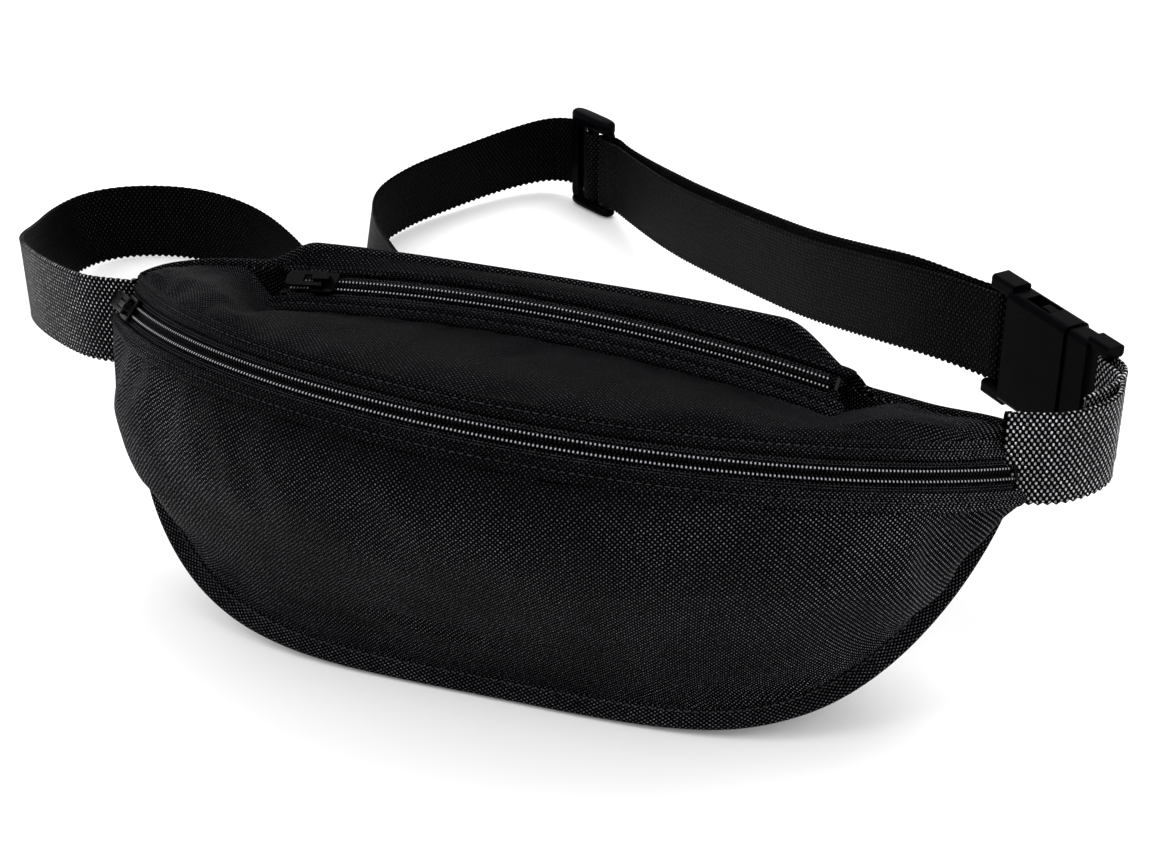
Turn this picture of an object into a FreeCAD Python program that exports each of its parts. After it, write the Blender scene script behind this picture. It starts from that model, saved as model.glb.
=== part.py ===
import FreeCAD, Part
import math
import os
from FreeCAD import Vector

# Waist pack, in millimetres. +Z is up and +X runs along the pack to its right-hand end.
# The origin is the middle of the flat patch that the filled pack stands on.
# The pack leans back on its rounded rear panel, and its belt lies behind it.

# ---- driving dimensions -------------------------------------------------------------
HALF_WIDTH = 175.0        # side seam to the middle
WEBBING = 38.0            # belt webbing width
WEBBING_THICK = 1.8
SEAM_Y = 41.5             # where the side seams stand
SEAM_Z = 76.0             # lower edge of the webbing at the side seams
FRONT_Y = -29.0           # bottom of the bound seam, at the middle
SEAM_LIFT = 1.3           # the binding's centre line stands this far off the floor
BOW_POWER = 4.3           # how square the lower outline is
RISE_POWER = 1.2
FABRIC = 1.2
BACK_FABRIC = 3.0
BINDING_WIDTH = 8.0
BINDING_THICK = 2.6

# The front zip follows one arc: its left end, its middle and its right end.
FRONT_ZIP = (Vector(-HALF_WIDTH, 42, 104), Vector(0, -43, 124), Vector(HALF_WIDTH, 42, 90))
FRONT_ZIP_LEAN = 27.5     # degrees that the tape's face turns up from the arc's plane
REAR_ZIP = (Vector(-112, 53, 115), Vector(0, 46, 124), Vector(110, 51, 108))
REAR_ZIP_LEAN = 0.0

TAPE_HALF = 11.0          # tape from the middle of the chain to its outer edge
TAPE_THICK = 0.8
CHAIN_SLOT = 0.9          # half the slot that the slider's post travels in
COIL_WIDTH = 2.0
COIL_HEIGHT = 2.0
WELT_INNER = 6.6          # folded fabric edge beside the chain
WELT_THICK = 1.4
PANEL_EDGE = 12.0         # the panels end this far from the middle of the chain
PARK_FRONT = 5.0          # degrees from the tape's end to the parked slider
PARK_REAR = 2.6
STOP_LENGTH = 2.4

REAR_REACH = 8.6          # the rear zip's back tape is cut narrower
REAR_WELT_INNER = 6.0
CREST_Y = 70.0            # top rear seam at the middle
CREST_Z = 125.4
CREST_FALL = 0.018        # slope of the crest towards the buckle end
CREST_LEFT_Z = 118.5      # height of the crest beyond the left end of the rear zip
CREST_RIGHT_Z = 103.5
REAR_END = 112.0          # half length of the rear zip
POCKET_END = 124.0        # where the back strip runs out

DIVIDER_HALF = 120.0      # half width of the wall between the two pockets

SLIDER_LENGTH = 11.0
SLIDER_WIDTH = 9.4
PLATE = 1.2
PULL_LENGTH = 16.0
PULL_WIDTH = 7.0
PULL_THICK = 1.6

BUCKLE_AT = Vector(178, 113.5, 97)
BUCKLE_HEADING = -44.0    # degrees in plan, from the socket towards the plug
BAR_REACH = 30.0          # each webbing bar from the buckle's middle
BUCKLE_HALF = 24.0
BUCKLE_THICK = 12.0
WALL = 2.0
PRONG_ROOT = 14.0

GLIDE_AT = Vector(-97, 404, 26.5)
GLIDE_HEADING = -32.0
GLIDE_LENGTH = 31.0
GLIDE_HALF = 25.0
GLIDE_THICK = 4.0
GLIDE_BAR = 5.0

SAMPLES = 25              # sections in each panel
SPAN = 12                 # route points along each face of a webbing strap
X_AXIS = Vector(1, 0, 0)
Y_AXIS = Vector(0, 1, 0)
Z_AXIS = Vector(0, 0, 1)


# ---- small tools --------------------------------------------------------------------
def unit(v):
    return v * (1.0 / v.Length)


def mix(a, b, t):
    return a * (1.0 - t) + b * t


def smooth_step(value, low, high):
    t = min(1.0, max(0.0, (value - low) / (high - low)))
    return t * t * (3.0 - 2.0 * t)


def bezier(points, t):
    while len(points) > 1:
        points = [mix(points[i], points[i + 1], t) for i in range(len(points) - 1)]
    return points[0]


def closed_solid(faces):
    sewn = Part.Compound(faces)
    sewn.sewShape(1e-3)
    solid = Part.Solid(sewn.Shells[0])
    if solid.Volume < 0:
        solid.reverse()
    return solid


def skin(outer, inner):
    """A closed sheet between two grids of points, row by row."""
    faces = []
    edges = []
    for grid in (outer, inner):
        surface = Part.BSplineSurface()
        surface.interpolate(grid)
        face = surface.toShape()
        faces.append(face)
        u0, u1, v0, v1 = surface.bounds()
        sides = (surface.uIso(u0), surface.uIso(u1), surface.vIso(v0), surface.vIso(v1))
        edges.append([side.toShape() for side in sides])
    for first, second in zip(edges[0], edges[1]):
        faces.append(Part.makeRuledSurface(first, second, 1))
    return closed_solid(faces)


def panel(surface_point, thickness, rows=SAMPLES, columns=9):
    """A fabric panel: surface_point(u, v) is its outer face, thickened inwards."""
    outer = []
    inner = []
    step = 1e-3
    for i in range(rows):
        u = i / (rows - 1.0)
        outer_row = []
        inner_row = []
        for j in range(columns):
            v = j / (columns - 1.0)
            here = surface_point(u, v)
            du = surface_point(min(1, u + step), v) - surface_point(max(0, u - step), v)
            dv = surface_point(u, min(1, v + step)) - surface_point(u, max(0, v - step))
            normal = unit(dv.cross(du))
            outer_row.append(here)
            inner_row.append(here - normal * thickness)
        outer.append(outer_row)
        inner.append(inner_row)
    return skin(outer, inner)


def smooth_route(points, steps=6):
    """Points on the quadratic B-spline whose control points are given."""
    out = [points[0]]
    last = len(points) - 2
    for i in range(1, len(points) - 1):
        start = points[0] if i == 1 else mix(points[i - 1], points[i], 0.5)
        end = points[-1] if i == last else mix(points[i], points[i + 1], 0.5)
        for k in range(1, steps + 1):
            out.append(bezier([start, points[i], end], k / float(steps)))
    return out


def ribbon(points, width, thickness, lean=None):
    """Webbing on its edge along a line of points under its lower edge's middle.

    lean is a list of sideways shifts of the upper edge, one for each point."""
    corners = [[], [], [], []]
    count = len(points)
    for i, here in enumerate(points):
        ahead = points[min(count - 1, i + 1)] - points[max(0, i - 1)]
        side = unit(Vector(-ahead.y, ahead.x, 0))
        shift = lean[i] if lean else 0.0
        top = here + side * shift + Z_AXIS * math.sqrt(width ** 2 - shift ** 2)
        half = side * (thickness / 2.0)
        for corner, place in zip(corners, (here + half, top + half, top - half, here - half)):
            corner.append(place)
    curves = []
    for corner in corners:
        curve = Part.BSplineCurve()
        curve.interpolate(Points=corner, Parameters=[float(i) for i in range(count)])
        curves.append(curve)
    faces = []
    for start in range(0, count - 1, SPAN):
        end = min(count - 1, start + SPAN)
        edges = [curve.toShape(start, end) for curve in curves]
        for k in range(4):
            faces.append(Part.makeRuledSurface(edges[k], edges[(k + 1) % 4], 1))
    for end in (0, -1):
        loop = [corner[end] for corner in corners]
        faces.append(Part.Face(Part.makePolygon(loop + [loop[0]])))
    return closed_solid(faces)


# ---- the two zips' arcs -------------------------------------------------------------
class ZipArc:
    """One circular zip line, with the frame of its tape at any angle."""

    def __init__(self, ends, lean, up):
        circle = Part.Arc(ends[0], ends[1], ends[2]).toShape().Curve
        self.centre = circle.Center
        self.radius = circle.Radius
        self.axis = unit(circle.Axis)
        if self.axis.dot(up) < 0:
            self.axis = self.axis * -1.0
        chord = ends[2] - ends[0]
        middle = unit(ends[1] - self.centre)
        self.along = self.axis.cross(middle)
        if self.along.dot(chord) < 0:
            self.along = self.along * -1.0
        self.middle = middle
        self.lean = math.radians(lean)
        self.low = self.angle_of(ends[0])
        self.high = self.angle_of(ends[2])

    def angle_of(self, point):
        arm = point - self.centre
        return math.degrees(math.atan2(arm.dot(self.along), arm.dot(self.middle)))

    def frame(self, angle):
        """Point, tangent, across (away from the wearer's front) and outward normal."""
        turn = math.radians(angle)
        radial = self.middle * math.cos(turn) + self.along * math.sin(turn)
        tangent = self.along * math.cos(turn) - self.middle * math.sin(turn)
        normal = radial * math.cos(self.lean) + self.axis * math.sin(self.lean)
        across = self.axis * math.cos(self.lean) - radial * math.sin(self.lean)
        return self.centre + radial * self.radius, tangent, across, normal

    def at(self, angle, side, height):
        point, tangent, across, normal = self.frame(angle)
        return point + across * side + normal * height

    def band(self, side0, side1, height0, height1, start, end):
        """A rectangle swept round the arc between two angles."""
        corners = [self.at(start, side0, height0), self.at(start, side1, height0),
                   self.at(start, side1, height1), self.at(start, side0, height1)]
        face = Part.Face(Part.makePolygon(corners + [corners[0]]))
        spin = self.axis
        swept = face.revolve(self.centre, spin, end - start)
        ahead = swept.CenterOfMass - face.CenterOfMass
        if ahead.dot(self.frame(start)[1]) < 0:
            swept = face.revolve(self.centre, spin * -1.0, end - start)
        if swept.Volume < 0:
            swept.reverse()
        return swept

    def placed(self, shape, angle):
        """Move a shape from the slider's own frame (x along, y across, z out) to the arc."""
        point, tangent, across, normal = self.frame(angle)
        matrix = FreeCAD.Matrix(tangent.x, across.x, normal.x, point.x,
                                tangent.y, across.y, normal.y, point.y,
                                tangent.z, across.z, normal.z, point.z,
                                0, 0, 0, 1)
        moved = shape.copy()
        moved.transformShape(matrix)
        return moved


front_zip = ZipArc(FRONT_ZIP, FRONT_ZIP_LEAN, Z_AXIS)
rear_zip = ZipArc(REAR_ZIP, REAR_ZIP_LEAN, Y_AXIS)


# ---- the pack's guiding lines -------------------------------------------------------
SEAM_PLANE = unit(Vector(0, SEAM_Y - FRONT_Y, SEAM_Z - SEAM_LIFT))
SEAM_FACE = X_AXIS.cross(SEAM_PLANE)


def outline(x):
    """The bound lower edge: a squared-off bow in a plane that leans back."""
    across = min(1.0, abs(x) / HALF_WIDTH)
    rise = 1.0 - (1.0 - across ** BOW_POWER) ** (1.0 / RISE_POWER)
    return Vector(x, FRONT_Y + (SEAM_Y - FRONT_Y) * rise, SEAM_LIFT + (SEAM_Z - SEAM_LIFT) * rise)


def inward(x):
    """In the seam's plane, from the bound edge towards the middle of the pack."""
    step = 0.05
    low = max(-HALF_WIDTH, x - step)
    high = min(HALF_WIDTH, x + step)
    along = unit(outline(high) - outline(low))
    return unit(SEAM_FACE.cross(along))


def seam_line(x, inset=BINDING_WIDTH):
    point = outline(x) + inward(x) * inset
    return point


def crest(x):
    """The top rear seam, where the back panel ends. It drops beyond both ends of the rear zip."""
    across = min(1.0, abs(x) / HALF_WIDTH)
    y = SEAM_Y + 4.0 + (CREST_Y - SEAM_Y - 4.0) * (1.0 - across ** (3.4 if x < 0 else 2.6))
    left = CREST_LEFT_Z - 3.0 * smooth_step(-x, 140.0, HALF_WIDTH)
    right = CREST_RIGHT_Z + 3.0 * smooth_step(x, 140.0, 172.0)
    z = left + (CREST_Z - CREST_FALL * x - left) * smooth_step(x, -124.0, -102.0)
    z += (right - z) * smooth_step(x, 84.0, 120.0)
    return Vector(x, y, z)


def on_zip_by_x(arc, x, side):
    """The tape edge's point at a given x, found by halving the angle's range."""
    low = arc.low - 2.0
    high = arc.high + 2.0
    for _ in range(40):
        middle = (low + high) / 2.0
        if arc.at(middle, side, 0).x < x:
            low = middle
        else:
            high = middle
    return arc.at(low, side, 0)


def mid_rear_edge(x):
    """Rear edge of the middle panel: beside the rear zip, then out to the top rear seam."""
    beside = on_zip_by_x(rear_zip, max(-REAR_END, min(REAR_END - 2.0, x)), -PANEL_EDGE)
    beside = Vector(x, beside.y, beside.z)
    seam = crest(x) - Vector(0, 0.9, 0)
    return mix(beside, seam, smooth_step(abs(x), REAR_END, POCKET_END))


def strip_front_edge(x):
    beside = on_zip_by_x(rear_zip, max(-REAR_END, min(REAR_END - 2.0, x)), REAR_REACH + 1.4)
    beside = Vector(x, beside.y, beside.z)
    seam = crest(x) - Vector(0, 2.0, 0)
    return mix(beside, seam, smooth_step(abs(x), REAR_END, POCKET_END - 2.0))


def spread(x, arc, side, half_width):
    """Scale x so that the arc's two ends land on -half_width and +half_width."""
    end = arc.at(arc.low if x < 0 else arc.high, side, 0.6).x
    return half_width * x / abs(end)


# ---- fabric panels ------------------------------------------------------------------
def front_point(u, v):
    angle = front_zip.low + (front_zip.high - front_zip.low) * u
    top = front_zip.at(angle, -PANEL_EDGE, 0.6)
    down = front_zip.frame(angle)[2] * -1.0
    x = spread(top.x, front_zip, -PANEL_EDGE, HALF_WIDTH - 0.4)
    foot = seam_line(x)
    reach = (top - foot).Length
    out = unit(inward(x) * 0.62 + SEAM_FACE * 0.78)
    return bezier([top, top + down * (reach * 0.34), foot + out * (reach * 0.36), foot], v)


def mid_point(u, v):
    angle = front_zip.low + (front_zip.high - front_zip.low) * u
    front = front_zip.at(angle, PANEL_EDGE, 0.6)
    rear = mid_rear_edge(spread(front.x, front_zip, PANEL_EDGE, HALF_WIDTH - 1.0))
    reach = (rear - front).Length
    away = front_zip.frame(angle)[2]
    rise = front + unit(away + Vector(0, 0.6, 0)) * (reach * 0.33)
    flat = rear + Vector(0, -0.96, 0.10) * (reach * 0.33)
    return bezier([front, rise, flat, rear], 1.0 - v)


def back_point(u, v):
    x = (HALF_WIDTH - 1.5) * math.sin(math.radians(-90.0 + 180.0 * u))
    foot = seam_line(x) - SEAM_FACE * 1.4
    top = crest(x)
    middle = 1.0 - (abs(x) / HALF_WIDTH) ** 2.4
    low_rear = foot + Vector(0, 52.0 * middle, -40.0 * middle)
    high_rear = top + Vector(0, 17.0 * middle + 2.0, -46.0 * middle - 8.0)
    return bezier([foot, low_rear, high_rear, top], v)


def strip_point(u, v):
    x = (POCKET_END - 3.0) * (2.0 * u - 1.0)
    front = strip_front_edge(x)
    rear = crest(x) - Vector(0, 0.9, 0)
    reach = (rear - front).Length
    return bezier([rear, mix(front, rear, 0.6) + Z_AXIS * (reach * 0.24), front], v)


def divider_point(u, v):
    x = DIVIDER_HALF * (2.0 * u - 1.0)
    top = mid_rear_edge(x) + Vector(0, -2.0, -6.0)
    foot = seam_line(x) + inward(x) * 7.0 + Vector(0, 1.0, 0)
    return bezier([foot, mix(foot, top, 0.5) + Vector(0, 4.0, -6.0), top], v)


def binding():
    """The woven tape folded over the lower seam, as one bowed bar."""
    outer_face = []
    inner_face = []
    rows = 41
    for i in range(rows):
        x = (HALF_WIDTH - 0.8) * math.sin(math.radians(-90.0 + 180.0 * i / (rows - 1.0)))
        edge = outline(x)
        root = edge + inward(x) * (BINDING_WIDTH - 0.8)
        lift = SEAM_FACE * (BINDING_THICK / 2.0)
        outer_face.append([edge + lift, root + lift])
        inner_face.append([edge - lift, root - lift])
    return skin(outer_face, inner_face)


def crest_binding():
    """The narrow bound seam along the top rear edge."""
    centre = [crest(x) + Vector(0, 1.4, 0.4) for x in
              [(HALF_WIDTH - 4.0) * (2.0 * i / 56.0 - 1.0) for i in range(57)]]
    return ribbon([p - Z_AXIS * 0.2 for p in centre], 3.0, 1.6)


# ---- zip pieces ---------------------------------------------------------------------
def zip_pieces(arc, prefix, upper, lower, upper_reach, upper_welt):
    """Tapes, coils and folded edges. upper and lower name the two sides.

    upper_reach and upper_welt are the upper tape's half width and where its folded edge starts."""
    pieces = {}
    half = TAPE_THICK / 2.0
    for side, word, reach, welt_inner in ((1.0, upper, upper_reach, upper_welt),
                                          (-1.0, lower, TAPE_HALF, WELT_INNER)):
        tape = arc.band(side * CHAIN_SLOT, side * reach, -half, half, arc.low, arc.high)
        pieces["%s_zip_%s_tape" % (prefix, word)] = tape
        coil = arc.band(side * CHAIN_SLOT, side * (CHAIN_SLOT + COIL_WIDTH), half + 0.05,
                        half + COIL_HEIGHT, arc.low + 0.6, arc.high - 0.6)
        pieces["%s_zip_%s_coil" % (prefix, word)] = coil
        welt = arc.band(side * welt_inner, side * (reach + 0.4), half + 0.3,
                        half + 0.3 + WELT_THICK, arc.low, arc.high)
        pieces["%s_zip_%s_welt" % (prefix, word)] = welt
    return pieces


def zip_stops(arc):
    """A pair of top stops beside the parked slider and one bar at the far end."""
    half = TAPE_THICK / 2.0
    width = math.degrees(STOP_LENGTH / arc.radius)
    reach = CHAIN_SLOT + COIL_WIDTH
    stops = []
    for side in (1.0, -1.0):
        stops.append(arc.band(side * 3.1, side * 4.0, half + 0.1, half + 1.2,
                              arc.low + 0.1, arc.low + 0.1 + width))
    stops.append(arc.band(-reach, reach, half + COIL_HEIGHT + 0.1, half + COIL_HEIGHT + 0.9,
                          arc.high - 0.2 - width * 0.6, arc.high - 0.2))
    return Part.makeCompound(stops)


def slider():
    """Zip slider in its own frame: x along the chain, y across it, z out of the bag."""
    under = -TAPE_THICK / 2.0 - 0.5
    over = TAPE_THICK / 2.0 + COIL_HEIGHT + 0.5
    half_l = SLIDER_LENGTH / 2.0
    half_w = SLIDER_WIDTH / 2.0
    post_half = CHAIN_SLOT - 0.35
    bottom = Part.makeBox(SLIDER_LENGTH, SLIDER_WIDTH - 0.6, PLATE,
                          Vector(-half_l, -half_w + 0.3, under - PLATE))
    top = Part.makeBox(SLIDER_LENGTH, SLIDER_WIDTH, PLATE, Vector(-half_l, -half_w, over))
    top = top.makeFillet(1.6, [e for e in top.Edges if abs(e.tangentAt(0).z) > 0.9])
    bottom = bottom.makeFillet(1.6, [e for e in bottom.Edges if abs(e.tangentAt(0).z) > 0.9])
    post = Part.makeBox(3.0, post_half * 2.0, over - under + 0.4,
                        Vector(half_l - 4.0, -post_half, under - 0.2))
    body = top.fuse([bottom, post])
    for side in (1.0, -1.0):
        y0 = half_w - 1.0 if side > 0 else -half_w
        flange = Part.makeBox(SLIDER_LENGTH - 4.0, 1.0, over - TAPE_THICK / 2.0 - 0.9 + 0.2,
                              Vector(-half_l + 2.0, y0, TAPE_THICK / 2.0 + 0.9))
        body = body.fuse(flange)
    arch = Part.makeBox(7.6, 2.2, 3.4, Vector(-3.8, -1.1, over + PLATE - 0.2))
    hole = Part.makeBox(5.0, 3.0, 2.4, Vector(-2.5, -1.5, over + PLATE))
    return body.fuse(arch.cut(hole)).removeSplitter()


PIVOT_HEIGHT = TAPE_THICK / 2.0 + COIL_HEIGHT + 0.5 + PLATE + 1.2


def pull():
    """The pull tab, lying back along -x from its cross bar under the slider's arch."""
    bar = Part.makeCylinder(0.8, PULL_WIDTH, Vector(0, -PULL_WIDTH / 2.0, PIVOT_HEIGHT), Y_AXIS)
    tab = Part.makeBox(PULL_LENGTH, PULL_WIDTH, PULL_THICK,
                       Vector(-PULL_LENGTH, -PULL_WIDTH / 2.0, PIVOT_HEIGHT - PULL_THICK / 2.0))
    corners = [e for e in tab.Edges
               if abs(e.tangentAt(0).z) > 0.9 and e.CenterOfMass.x < -PULL_LENGTH + 1.0]
    tab = tab.makeFillet(2.6, corners)
    window = Part.makeBox(7.4, 3.4, PULL_THICK + 1.0,
                          Vector(-8.2, -1.7, PIVOT_HEIGHT - PULL_THICK / 2.0 - 0.5))
    return tab.cut(window).fuse(bar).removeSplitter()


# ---- belt ---------------------------------------------------------------------------
# Routes of the webbing's lower edge. The left length leaves the side seam, drops to the
# floor in a wide loop, passes behind the pack and turns back to the adjuster. From there
# two layers climb to the buckle, which the short right-hand length holds up.
LEFT_ROUTE = [(-176.6, 42, 76), (-193, 42, 75), (-212, 54, 71), (-238, 76, 64), (-264, 108, 52),
              (-288, 152, 33), (-309, 196, 14), (-322, 236, 3.5), (-318, 262, 1), (-298, 277, 0.1),
              (-270, 281, 0.1), (-237, 270, 0.1), (-205, 244, 0.1), (-176, 212, 0.1),
              (-148, 190, 0.1), (-124, 194, 0.1), (-124, 220, 0.1), (-150, 246, 0.1),
              (-178, 278, 0.1), (-192, 312, 0.1), (-186, 346, 0.6), (-170, 376, 1.5),
              (-152, 402, 3.5), (-132, 420, 5.5)]
LEFT_LEAN = 6.0           # the loop's upper edge tips this far towards the front
DOUBLE_ROUTE = [(-66, 376, 9), (-30, 327, 19), (2, 289, 29), (34, 251, 40),
                (62, 218, 50), (88, 191, 60), (114, 165, 70), (134, 149, 75.5), (150, 139, 77)]
LAYER_HALF = 2.3          # half the distance between the two layers
LAYER_RISE = 3.0
WRAP_RADIUS = 2.9         # webbing centre line round a buckle bar
WEAVE = 3.35              # webbing centre line beside the adjuster's bars


def vectors(route):
    return [Vector(*p) for p in route]


def in_frame(centre, heading, along, side, z):
    """A point at height z, given along and to the left of a heading in plan."""
    turn = math.radians(heading)
    x = centre.x + along * math.cos(turn) - side * math.sin(turn)
    y = centre.y + along * math.sin(turn) + side * math.cos(turn)
    return Vector(x, y, z)


def in_buckle(along, side, z=None):
    return in_frame(BUCKLE_AT, BUCKLE_HEADING, along, side, SEAM_Z + 2.0 if z is None else z)


def in_glide(along, side, z=GLIDE_AT.z - WEBBING / 2.0):
    return in_frame(GLIDE_AT, GLIDE_HEADING, along, side, z)


def bar_wrap(along, towards, first_side):
    """Half a turn of webbing round a buckle bar, on the side of it named by towards."""
    points = []
    for k in range(7):
        angle = math.radians(-90.0 + 30.0 * k)
        points.append(in_buckle(along + towards * WRAP_RADIUS * math.cos(angle),
                                -first_side * WRAP_RADIUS * math.sin(angle)))
    return points


def side_shift(points, amount, lift):
    """Shift a line of points to its left; lift is reached over the first few points."""
    out = []
    count = len(points)
    for i, here in enumerate(points):
        ahead = points[min(count - 1, i + 1)] - points[max(0, i - 1)]
        side = unit(Vector(-ahead.y, ahead.x, 0))
        rise = lift * smooth_step(i, 0, 10) * (1.0 - smooth_step(i, count - 12, count - 1))
        out.append(here + side * amount + Z_AXIS * rise)
    return out


def adjuster_weave():
    """Behind the end bars of the adjuster and in front of its middle bar."""
    points = []
    bar = GLIDE_BAR / 2.0
    slot_end = GLIDE_LENGTH / 2.0 - GLIDE_BAR
    for k in range(-9, 10):
        along = 2.0 * k
        swing = smooth_step(abs(along), bar, slot_end)
        points.append(in_glide(along, WEAVE * (2.0 * swing - 1.0)))
    return points


def long_strap_route():
    """Left side seam, adjuster, far layer, socket bar, near layer, back to the adjuster."""
    left = smooth_route(vectors(LEFT_ROUTE) + [in_glide(-24, WEAVE), in_glide(-19, WEAVE)])
    middle = [in_glide(19, 0)] + vectors(DOUBLE_ROUTE)
    middle = smooth_route(middle)
    far = side_shift(middle, LAYER_HALF, LAYER_RISE)
    near = side_shift(middle, -LAYER_HALF, 0.0)
    near.reverse()
    wrap = bar_wrap(-BAR_REACH, 1.0, 1.0)
    end = [in_glide(14, -WEAVE), in_glide(9, -WEAVE)]
    return left + adjuster_weave() + far[1:-1] + wrap + near[1:-1] + end, len(left)


def long_strap():
    route, floor_part = long_strap_route()
    lean = []
    for i in range(len(route)):
        share = i / float(floor_part)
        rise = smooth_step(share, 0.10, 0.32)
        turn = 1.0 - 2.0 * smooth_step(share, 0.52, 0.76)
        fall = 1.0 - smooth_step(share, 0.86, 1.0)
        lean.append(LEFT_LEAN * rise * turn * fall)
    return ribbon(route, WEBBING, WEBBING_THICK, lean)


def short_strap_route():
    """Right side seam to the plug's bar, with the tail folded back inside the bend."""
    run = smooth_route([Vector(HALF_WIDTH + 1.6, 42, SEAM_Z + 1.0), Vector(188, 44, SEAM_Z + 1.5),
                        Vector(200, 53, SEAM_Z + 2.0), Vector(208, 66, SEAM_Z + 2.0),
                        in_buckle(45.0, -5.0), in_buckle(38.0, -3.2), in_buckle(33.0, -WRAP_RADIUS)], 5)
    wrap = bar_wrap(BAR_REACH, -1.0, -1.0)
    tail = smooth_route([in_buckle(33.0, WRAP_RADIUS), in_buckle(37.0, 2.6), in_buckle(43.0, -1.5),
                         in_buckle(48.0, -13.0), in_buckle(50.0, -26.0)], 4)
    return run + wrap + tail


def short_strap():
    return ribbon(short_strap_route(), WEBBING, WEBBING_THICK)


def strap_tack(x_side):
    """The folded end of the webbing, stitched down in the side seam."""
    low = Vector(x_side * (HALF_WIDTH - 3.0), SEAM_Y + 2.6, SEAM_Z + 1.5)
    width = 5.2
    start = low.x - width / 2.0
    return Part.makeBox(width, 3.0, WEBBING - 3.0, Vector(start, low.y, low.z))


def buckle_box(along0, along1, side0, side1, up0, up1):
    """A box in the buckle's own frame."""
    box = Part.makeBox(along1 - along0, side1 - side0, up1 - up0, Vector(along0, side0, up0))
    return box


def place_in_buckle(shape):
    moved = shape.copy()
    moved.rotate(Vector(0, 0, 0), Z_AXIS, BUCKLE_HEADING)
    moved.translate(BUCKLE_AT)
    return moved


def rounded_box(along0, along1, side0, side1, up0, up1, radius):
    box = buckle_box(along0, along1, side0, side1, up0, up1)
    long_edges = [e for e in box.Edges if abs(e.tangentAt(0).x) > 0.9]
    return box.makeFillet(radius, long_edges)


def buckle_socket():
    half = BUCKLE_THICK / 2.0
    shell = rounded_box(-22.0, 12.0, -half, half, -BUCKLE_HALF, BUCKLE_HALF, 3.0)
    inside = rounded_box(-17.0, 13.0, -half + WALL, half - WALL,
                         -BUCKLE_HALF + WALL, BUCKLE_HALF - WALL, 1.2)
    window = buckle_box(-14.0, 0.0, -half + WALL + 0.6, half - WALL - 0.6,
                        -BUCKLE_HALF - 1.0, BUCKLE_HALF + 1.0)
    body = shell.cut(inside).cut(window)
    cheek = BUCKLE_HALF - 4.0
    for low, high in ((cheek, BUCKLE_HALF + 2.0), (-BUCKLE_HALF - 2.0, -cheek)):
        body = body.fuse(rounded_box(-34.0, -21.0, -4.5, 4.5, low, high, 1.5))
    bar = Part.makeCylinder(1.7, 2.0 * BUCKLE_HALF, Vector(-BAR_REACH, 0, -BUCKLE_HALF), Z_AXIS)
    return place_in_buckle(body.fuse(bar).removeSplitter())


def buckle_plug():
    base = rounded_box(12.6, 24.0, -5.0, 5.0, -BUCKLE_HALF + 0.8, BUCKLE_HALF - 0.8, 2.4)
    body = base
    cheek = BUCKLE_HALF - 4.0
    for low, high in ((cheek, BUCKLE_HALF + 1.0), (-BUCKLE_HALF - 1.0, -cheek)):
        body = body.fuse(rounded_box(23.0, 34.0, -4.0, 4.0, low, high, 1.5))
    bar = Part.makeCylinder(1.7, 2.0 * BUCKLE_HALF, Vector(BAR_REACH, 0, -BUCKLE_HALF), Z_AXIS)
    tongue = rounded_box(-14.0, 13.0, -1.6, 1.6, -5.0, 5.0, 1.0)
    slots = buckle_box(12.0, PRONG_ROOT + 2.4, -2.4, 2.4, 12.4, 19.6)
    slots = slots.fuse(buckle_box(12.0, PRONG_ROOT + 2.4, -2.4, 2.4, -19.6, -12.4))
    return place_in_buckle(body.fuse([bar, tongue]).cut(slots).removeSplitter())


def buckle_prong(sign):
    """A springy arm with the barb that stands in the socket's side window."""
    outline_points = [(PRONG_ROOT + 1.6, 14.0), (PRONG_ROOT + 1.6, 18.0), (-0.6, 18.6), (-0.6, 23.6),
                      (-6.0, 23.8), (-13.4, 19.4), (-13.4, 15.0), (-4.0, 14.4)]
    points = [Vector(a, -2.0, sign * b) for a, b in outline_points]
    face = Part.Face(Part.makePolygon(points + [points[0]]))
    return place_in_buckle(face.extrude(Vector(0, 4.0, 0)))


def tri_glide():
    """A three-bar adjuster, standing on end because the webbing does."""
    frame = Part.makeBox(GLIDE_LENGTH, GLIDE_THICK, 2.0 * GLIDE_HALF,
                         Vector(-GLIDE_LENGTH / 2.0, -GLIDE_THICK / 2.0, -GLIDE_HALF))
    ends = [e for e in frame.Edges if abs(e.tangentAt(0).y) > 0.9]
    frame = frame.makeFillet(6.0, ends)
    slot_length = (GLIDE_LENGTH - 3.0 * GLIDE_BAR) / 2.0
    for start in (-GLIDE_LENGTH / 2.0 + GLIDE_BAR, GLIDE_BAR / 2.0):
        slot = Part.makeBox(slot_length, GLIDE_THICK * 2.0, WEBBING + 3.0,
                            Vector(start, -GLIDE_THICK, -WEBBING / 2.0 - 1.5))
        frame = frame.cut(slot)
    frame.rotate(Vector(0, 0, 0), Z_AXIS, GLIDE_HEADING)
    frame.translate(GLIDE_AT)
    return frame


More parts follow.
